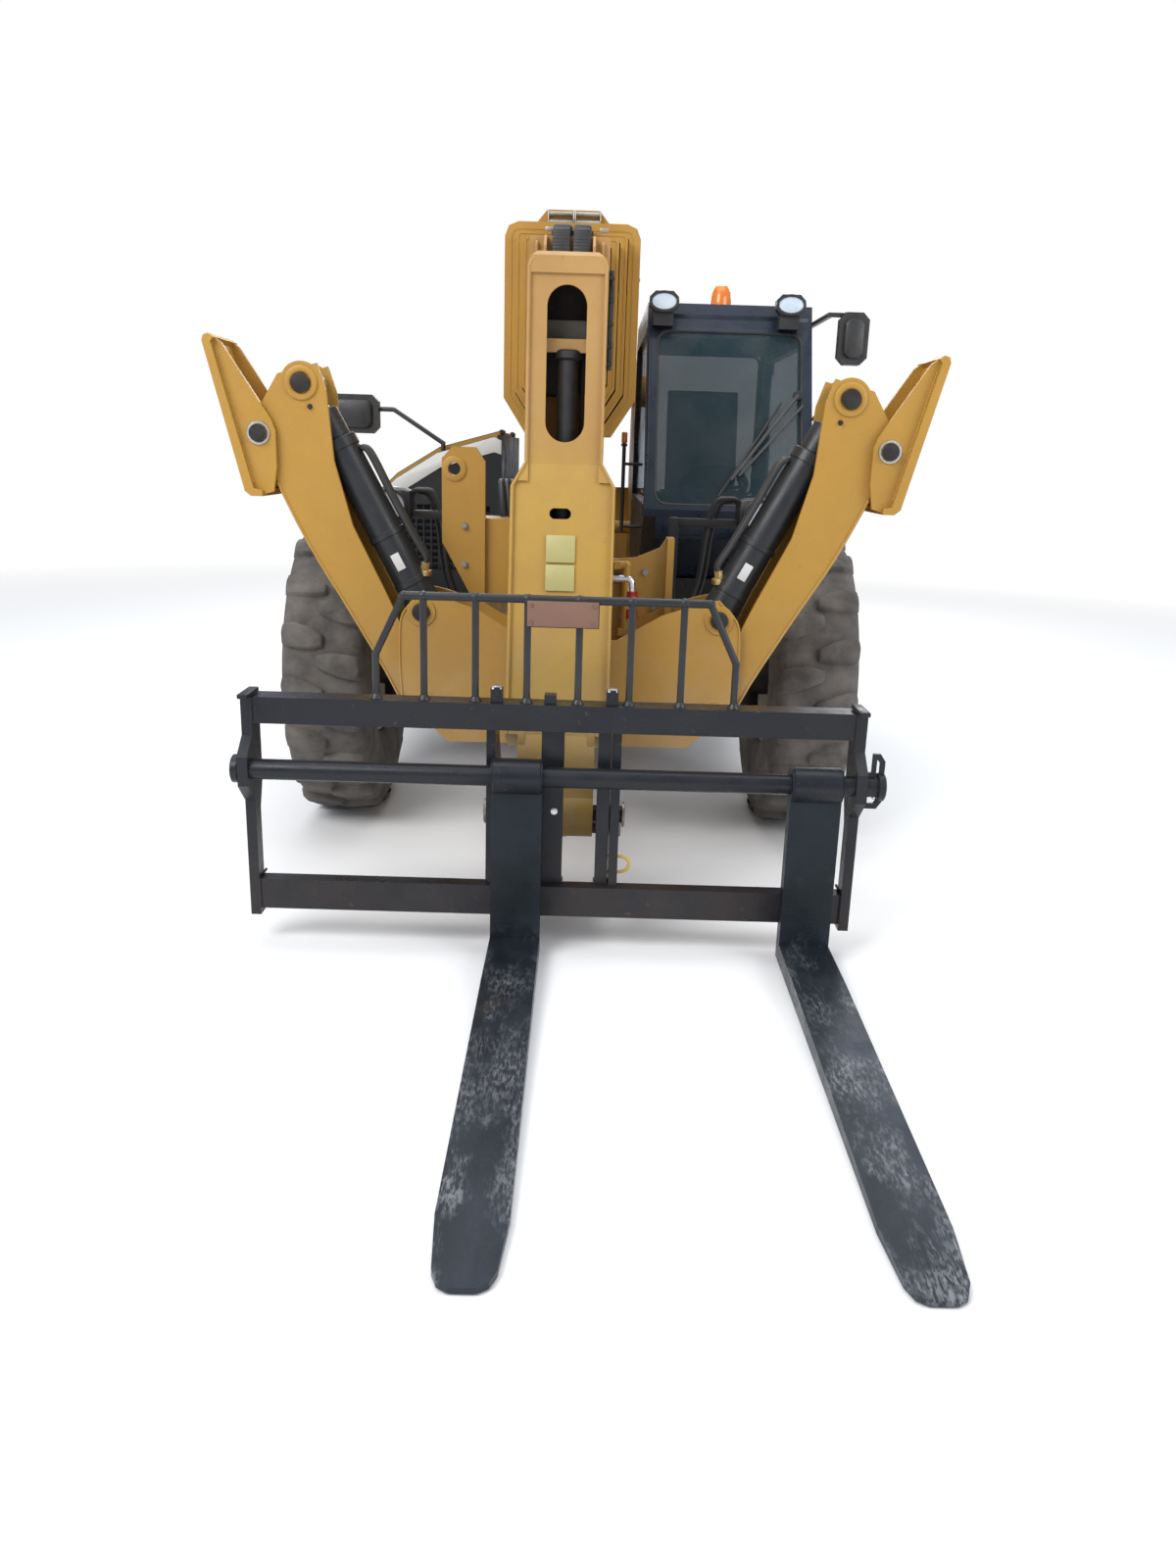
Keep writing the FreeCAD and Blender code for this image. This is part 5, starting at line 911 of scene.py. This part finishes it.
latch = Form("door_handle", plastic, "cab_door")
latch.block((1171, 700, 1330), (1186, 860, 1362), 6).block((1180, 720, 1338), (1200, 800, 1352), 5)
latch.pipe([(1171, 1000, 1480), (1192, 1010, 1480), (1192, 1500, 1480), (1171, 1510, 1480)], 9)
latch.done()
cluster = Form("dash_cluster", plastic)
cluster.block((600, 880, 1345), (900, 1010, 1430), 20)
for k in range(4):
    cluster.block((630 + 60 * k, 1005, 1370), (665 + 60 * k, 1016, 1400), 3)
cluster.pipe([(960, 1700, 1300), (960, 1690, 1500), (955, 1680, 1560)], 14)
cluster.turned([(0, 0), (6, 20), (30, 26), (60, 20), (68, 0)], (955, 1680, 1545), "Z", 20)
cluster.block((905, 1560, 1300), (1010, 2050, 1345), 14)
cluster.pipe([(750, 1217, 1516), (750, 1230, 1536)], 46, 20, 1)
cluster.done()

# %% [markdown]
# The seat's cushion and back are foam in cloth covers on a plastic shell. Each pad starts a little small and
# swells under pressure in a short cloth simulation, the way that stuffing tightens a sewn cover, and its welts
# are cords laid on afterwards. The shell stands on a pleated rubber skirt that hides the suspension.

# %% Seat
PAD_VOXEL, PAD_CAP, PAD_PRESSURE, PAD_FRAMES, PAD_FILL = 0.006, 0.011, 4, 20, 0.8
BACK_LEAN = math.radians(-12)


def pad(name, low, high):
    """A crowned cushion between two corners that swells by at most the cap."""
    shape = Form(name, cloth).block(low, high, 34)
    made = shape.done(180)
    remesh = made.modifiers.new("skin", "REMESH")
    remesh.mode, remesh.voxel_size, remesh.use_smooth_shade = "VOXEL", PAD_VOXEL, True
    bpy.context.view_layer.objects.active = made
    made.select_set(True)
    bpy.ops.object.modifier_apply(modifier="skin")
    before = [v.co.copy() for v in made.data.vertices]
    soft = made.modifiers.new("stuffing", "CLOTH")
    soft.settings.use_pressure = True
    soft.settings.uniform_pressure_force = PAD_PRESSURE
    soft.settings.effector_weights.gravity = 0
    soft.point_cache.frame_end = PAD_FRAMES
    for step in range(1, PAD_FRAMES + 1):
        bpy.context.scene.frame_set(step)
    bpy.ops.object.modifier_apply(modifier="stuffing")
    for vertex, start in zip(made.data.vertices, before):
        move = vertex.co - start
        if move.length > PAD_CAP:
            vertex.co = start + move.normalized() * PAD_CAP
    finer = made.modifiers.new("finer", "SUBSURF")
    finer.levels = finer.render_levels = 1
    bpy.ops.object.modifier_apply(modifier="finer")
    made.select_set(False)
    bpy.context.scene.frame_set(1)
    return made


shell = Form("seat_shell", plastic)
shell.block((560, 1680, 1106), (940, 2060, 1150), 10)
for k in range(6):
    wide = 4 * (k % 2)
    shell.block((570 - wide, 1690 - wide, 1150 + 38 * k), (930 + wide, 2050 + wide, 1190 + 38 * k), 12)
shell.block((505, 1590, 1376), (995, 2095, 1412), 14)
back_shape = [(2040, 1400), (2106, 1420), (2214, 2050), (2205, 2082), (2176, 2082), (2086, 1560)]
shell.plate(back_shape, "X", 530, 970, 12)
shell.bar((525, 1990, 1440), (975, 1990, 1440), 20)
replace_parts(shell.done(), "seat")
hinge = at(750, 1990, 1500)
turn = Matrix.Translation(hinge) @ Matrix.Rotation(BACK_LEAN, 4, "X") @ Matrix.Translation(-hinge)
pads = [pad("seat_cushion", (514, 1594, 1412), (986, 2030, 1490)),
        pad("seat_back_pad", (534, 1990, 1512), (966, 2062, 2066))]
pads[1].data.transform(turn)
welts = Form("seat_welts", cloth)
for z in (1427, 1480):
    welts.pipe([(524, 1604, z), (976, 1604, z), (976, 2020, z), (524, 2020, z), (524, 1604, z)], 4, 6, 4)
welts.done()
for made in pads:
    print(made.name, len(made.data.polygons))

# %% [markdown]
# The hood's crown rises over a pale band, whose white is painted glare, with a dark grille below it. Round lamps
# on brackets stand on both sides, with pressed shells and bent guards of tube, and the right-hand lamp's white
# top is a painted highlight. The rims have their nuts, valves and rolled lips.

# %% Hood, lamps and wheels
# The pale band along the front edge of the crown stands for a perforated intake screen. Its white is painted
# glare where the crown catches the sky.
band = Form("hood_glare_band", white_and_glare)
band.plate([(-412, 1738), (-450, 1755), (-750, 1665), (-968, 1529), (-1128, 1379), (-1080, 1338), (-935, 1466),
            (-735, 1592), (-450, 1678), (-412, 1668)], "Y", 845, 851, 1)
band.done()
louvre = Form("hood_louvres", black, "engine_hood")
for z in range(1080, 1350, 30):
    louvre.plate([(1192, z), (1210, z + 20), (1680, z + 20), (1680, z)], "X", -1156, -1148, 2)
louvre.block((-1158, 1940, 1190), (-1148, 2080, 1230), 4)
for y in (1018, 1700, 2346):
    louvre.pipe([(-1151, y, 1015), (-1151, y, 1395), (-986, y, 1553), (-757, y, 1694), (-436, y, 1786)], 3, 6, 1)
louvre.done()
grille = Form("grille_mesh", plastic)
for x in range(-985, -504, 40):
    grille.bar((x, 862, 1064), (x, 862, 1398), 4, 8)
grille.done()
shells = Form("head_lamp_shells", plastic)
glow = Form("head_lamp_lenses", lamp_lens)
# The white lamp top is a painted highlight: the glare on top of the right-hand lamp.
glare_caps = Form("head_lamp_glare_top", white_and_glare)
lamp_rim = [(0, 58), (0, 68), (14, 68), (18, 62), (18, 58), (0, 58)]
guard = ((700, -425, 1360), (690, -440, 1500), (640, -450, 1520), (590, -450, 1500), (560, -445, 1380),
         (540, -440, 1200), (500, -440, 1080), (440, -440, 1040))
for side in (1, -1):
    for near, far, lows, highs, ease in ((400.5, 440, (-480, 1000), (-420, 1440), 6),
                                         (410, 700, (-470, 1402), (-430, 1438), 5),
                                         (682, 858, (-500, 1387), (-382, 1528), 36)):
        low, high = sorted((side * near, side * far))
        shells.block((low, *lows), (high, *highs), ease)
    shells.turned(lamp_rim, (side * 770, -500, 1457), FORWARD)
    glow.turned([(0, 60), (8, 56), (14, 36), (16, 0)], (side * 770, -502, 1457), FORWARD)
    loop = [(side * x, y, z) for x, y, z in guard]
    shells.pipe(loop, 12)
    shells.pipe([(x + side * 26, y + 26, z - 8) for x, y, z in loop[2:]], 8)
    # Only the right-hand lamp's dome is white, as a painted highlight. The left one stays dark plastic.
    dome = glare_caps if side < 0 else shells
    dome.turned([(0, 84), (10, 82), (40, 64), (62, 30), (66, 0)], (side * 778, -400, 1466), "Z")
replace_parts(shells.done(), "headlamps")
glow.done()
glare_caps.done()
for end, along in AXLES:
    for label, side in SIDES:
        rim = Form(f"wheel_bolts_{end}_{label}", zinc, f"wheel_{end}_{label}")
        lip = Form(f"rim_lips_{end}_{label}", rim_paint, f"wheel_{end}_{label}")
        for count, radius, face, wide, thick in ((10, 165, 1119.5, 30, 18), (12, 105, 1187.5, 14, 8)):
            for y, z in circle(count, radius):
                rim.nut((side * face, along + y, HUB_LEVEL + z), (side, 0, 0), wide, thick)
        for way in (-1, 1):
            lip.turned([(-7, 288), (-9, 300), (-4, 306), (5, 304), (8, 296), (5, 288), (-7, 288)],
                       (side * HALF_TRACK + way * 134, along, HUB_LEVEL), sides=64)
        lip.turned([(0, 20), (0, 34), (5, 34), (8, 28), (8, 20)], (side * 1232.5, along, HUB_LEVEL),
                   Vector((side, 0, 0)), 20)
        lip.bar((side * 1119, along + 240, HUB_LEVEL), (side * 1150, along + 246, HUB_LEVEL), 7, 10)
        rim.done()
        lip.done()

print(len(pieces), "pieces so far")

# %% [markdown]
# A bent bright pipe with two red collars stands beside the boom, and hoses run back along the chassis. Bolts
# are placed one by one, as a fitter sets them. The steps have treads, and the tail has a grid and red lenses.

# %% Chassis, tank and tail
pipe_way = ((128, 1215), (208, 1215), (227, 1210), (236, 1195), (238, 1130), (238, 1012))
Form("bright_pipe", chrome).pipe([(x, -825, z) for x, z in pipe_way], 18.4, 16, 3).done()
collar = Form("pipe_collars", red)
for low, high in ((1134, 1166), (1060, 1096)):
    long = high - low
    collar.turned([(0, 19), (0, 25), (long, 25), (long, 19), (0, 19)], (238, -825, low), "Z", 20)
collar.done()
small = Form("chassis_bolts", zinc)
for x, z in ((290, 1240), (330, 1100), (200, 1060), (-430, 1400), (-430, 1250)):
    small.nut((x, -797, z), FORWARD, 18, 10)
for side in (1, -1):
    for y in (700, 1500, 2300):
        small.nut((side * 401, y, 1030), (side, 0, 0), 18, 10)
small.done()
eye = Form("plate_eye_ring", yellow)
eye.turned([(0, 25), (0, 48), (4, 48), (6, 44), (6, 25), (0, 25)], (-471, -795, 1617), FORWARD)
eye.done()
line = Form("chassis_hoses", hose_and_shade_black)
bundle = ((-300, 34, -700, 1150), (-290, 30, -640, 1400), (-310, 25, -500, 1560), (-330, 20, -200, 1500),
          (-345, 18, 200, 1200), (-345, 0, 600, 1000))
for k in range(3):
    line.pipe([(x + step * k, y, z) for x, step, y, z in bundle], 12)
line.pipe([(330, -700, 1150), (345, -600, 1260), (350, -300, 1220), (350, 200, 1060)], 12)
line.pipe([(300, -700, 1150), (318, -600, 1230), (325, -300, 1180), (330, 200, 1040)], 12)
line.done()
shaft = Form("drive_shaft", dark)
shaft.bar((0, 206, 660), (0, 2994, 660), 38)
for y in (260, 1500, 2900):
    shaft.turned([(-30, 0), (-30, 62), (-16, 70), (16, 70), (30, 62), (30, 0)], (0, y, 660), "Y")
shaft.done()
tread = Form("step_treads", zinc)
for z in (601, 791):
    for y in range(1090, 1511, 60):
        tread.block((975, y, z), (1125, y + 30, z + 5), 1)
tread.turned([(0, 46), (30, 46), (34, 40), (34, 0)], (1050, 960, 1050), "Z")
tread.done()
tail = Form("tail_details", plastic)
for z in range(700, 1007, 34):
    tail.block((-420, 4646, z), (420, 4651, z + 16), 2)
tail.block((-260, 4645, 1130), (260, 4650, 1240), 4)
tail.done()
glass = Form("tail_lenses", red)
for low, high in ((-1004, -900), (900, 1004)):
    glass.block((low, 4640, 1086), (high, 4648, 1194), 3)
glass.done()
print(len(pieces), "pieces in all")

# %% [markdown]
# The bounds are worked out once more.

# %% Close
save_bounds()
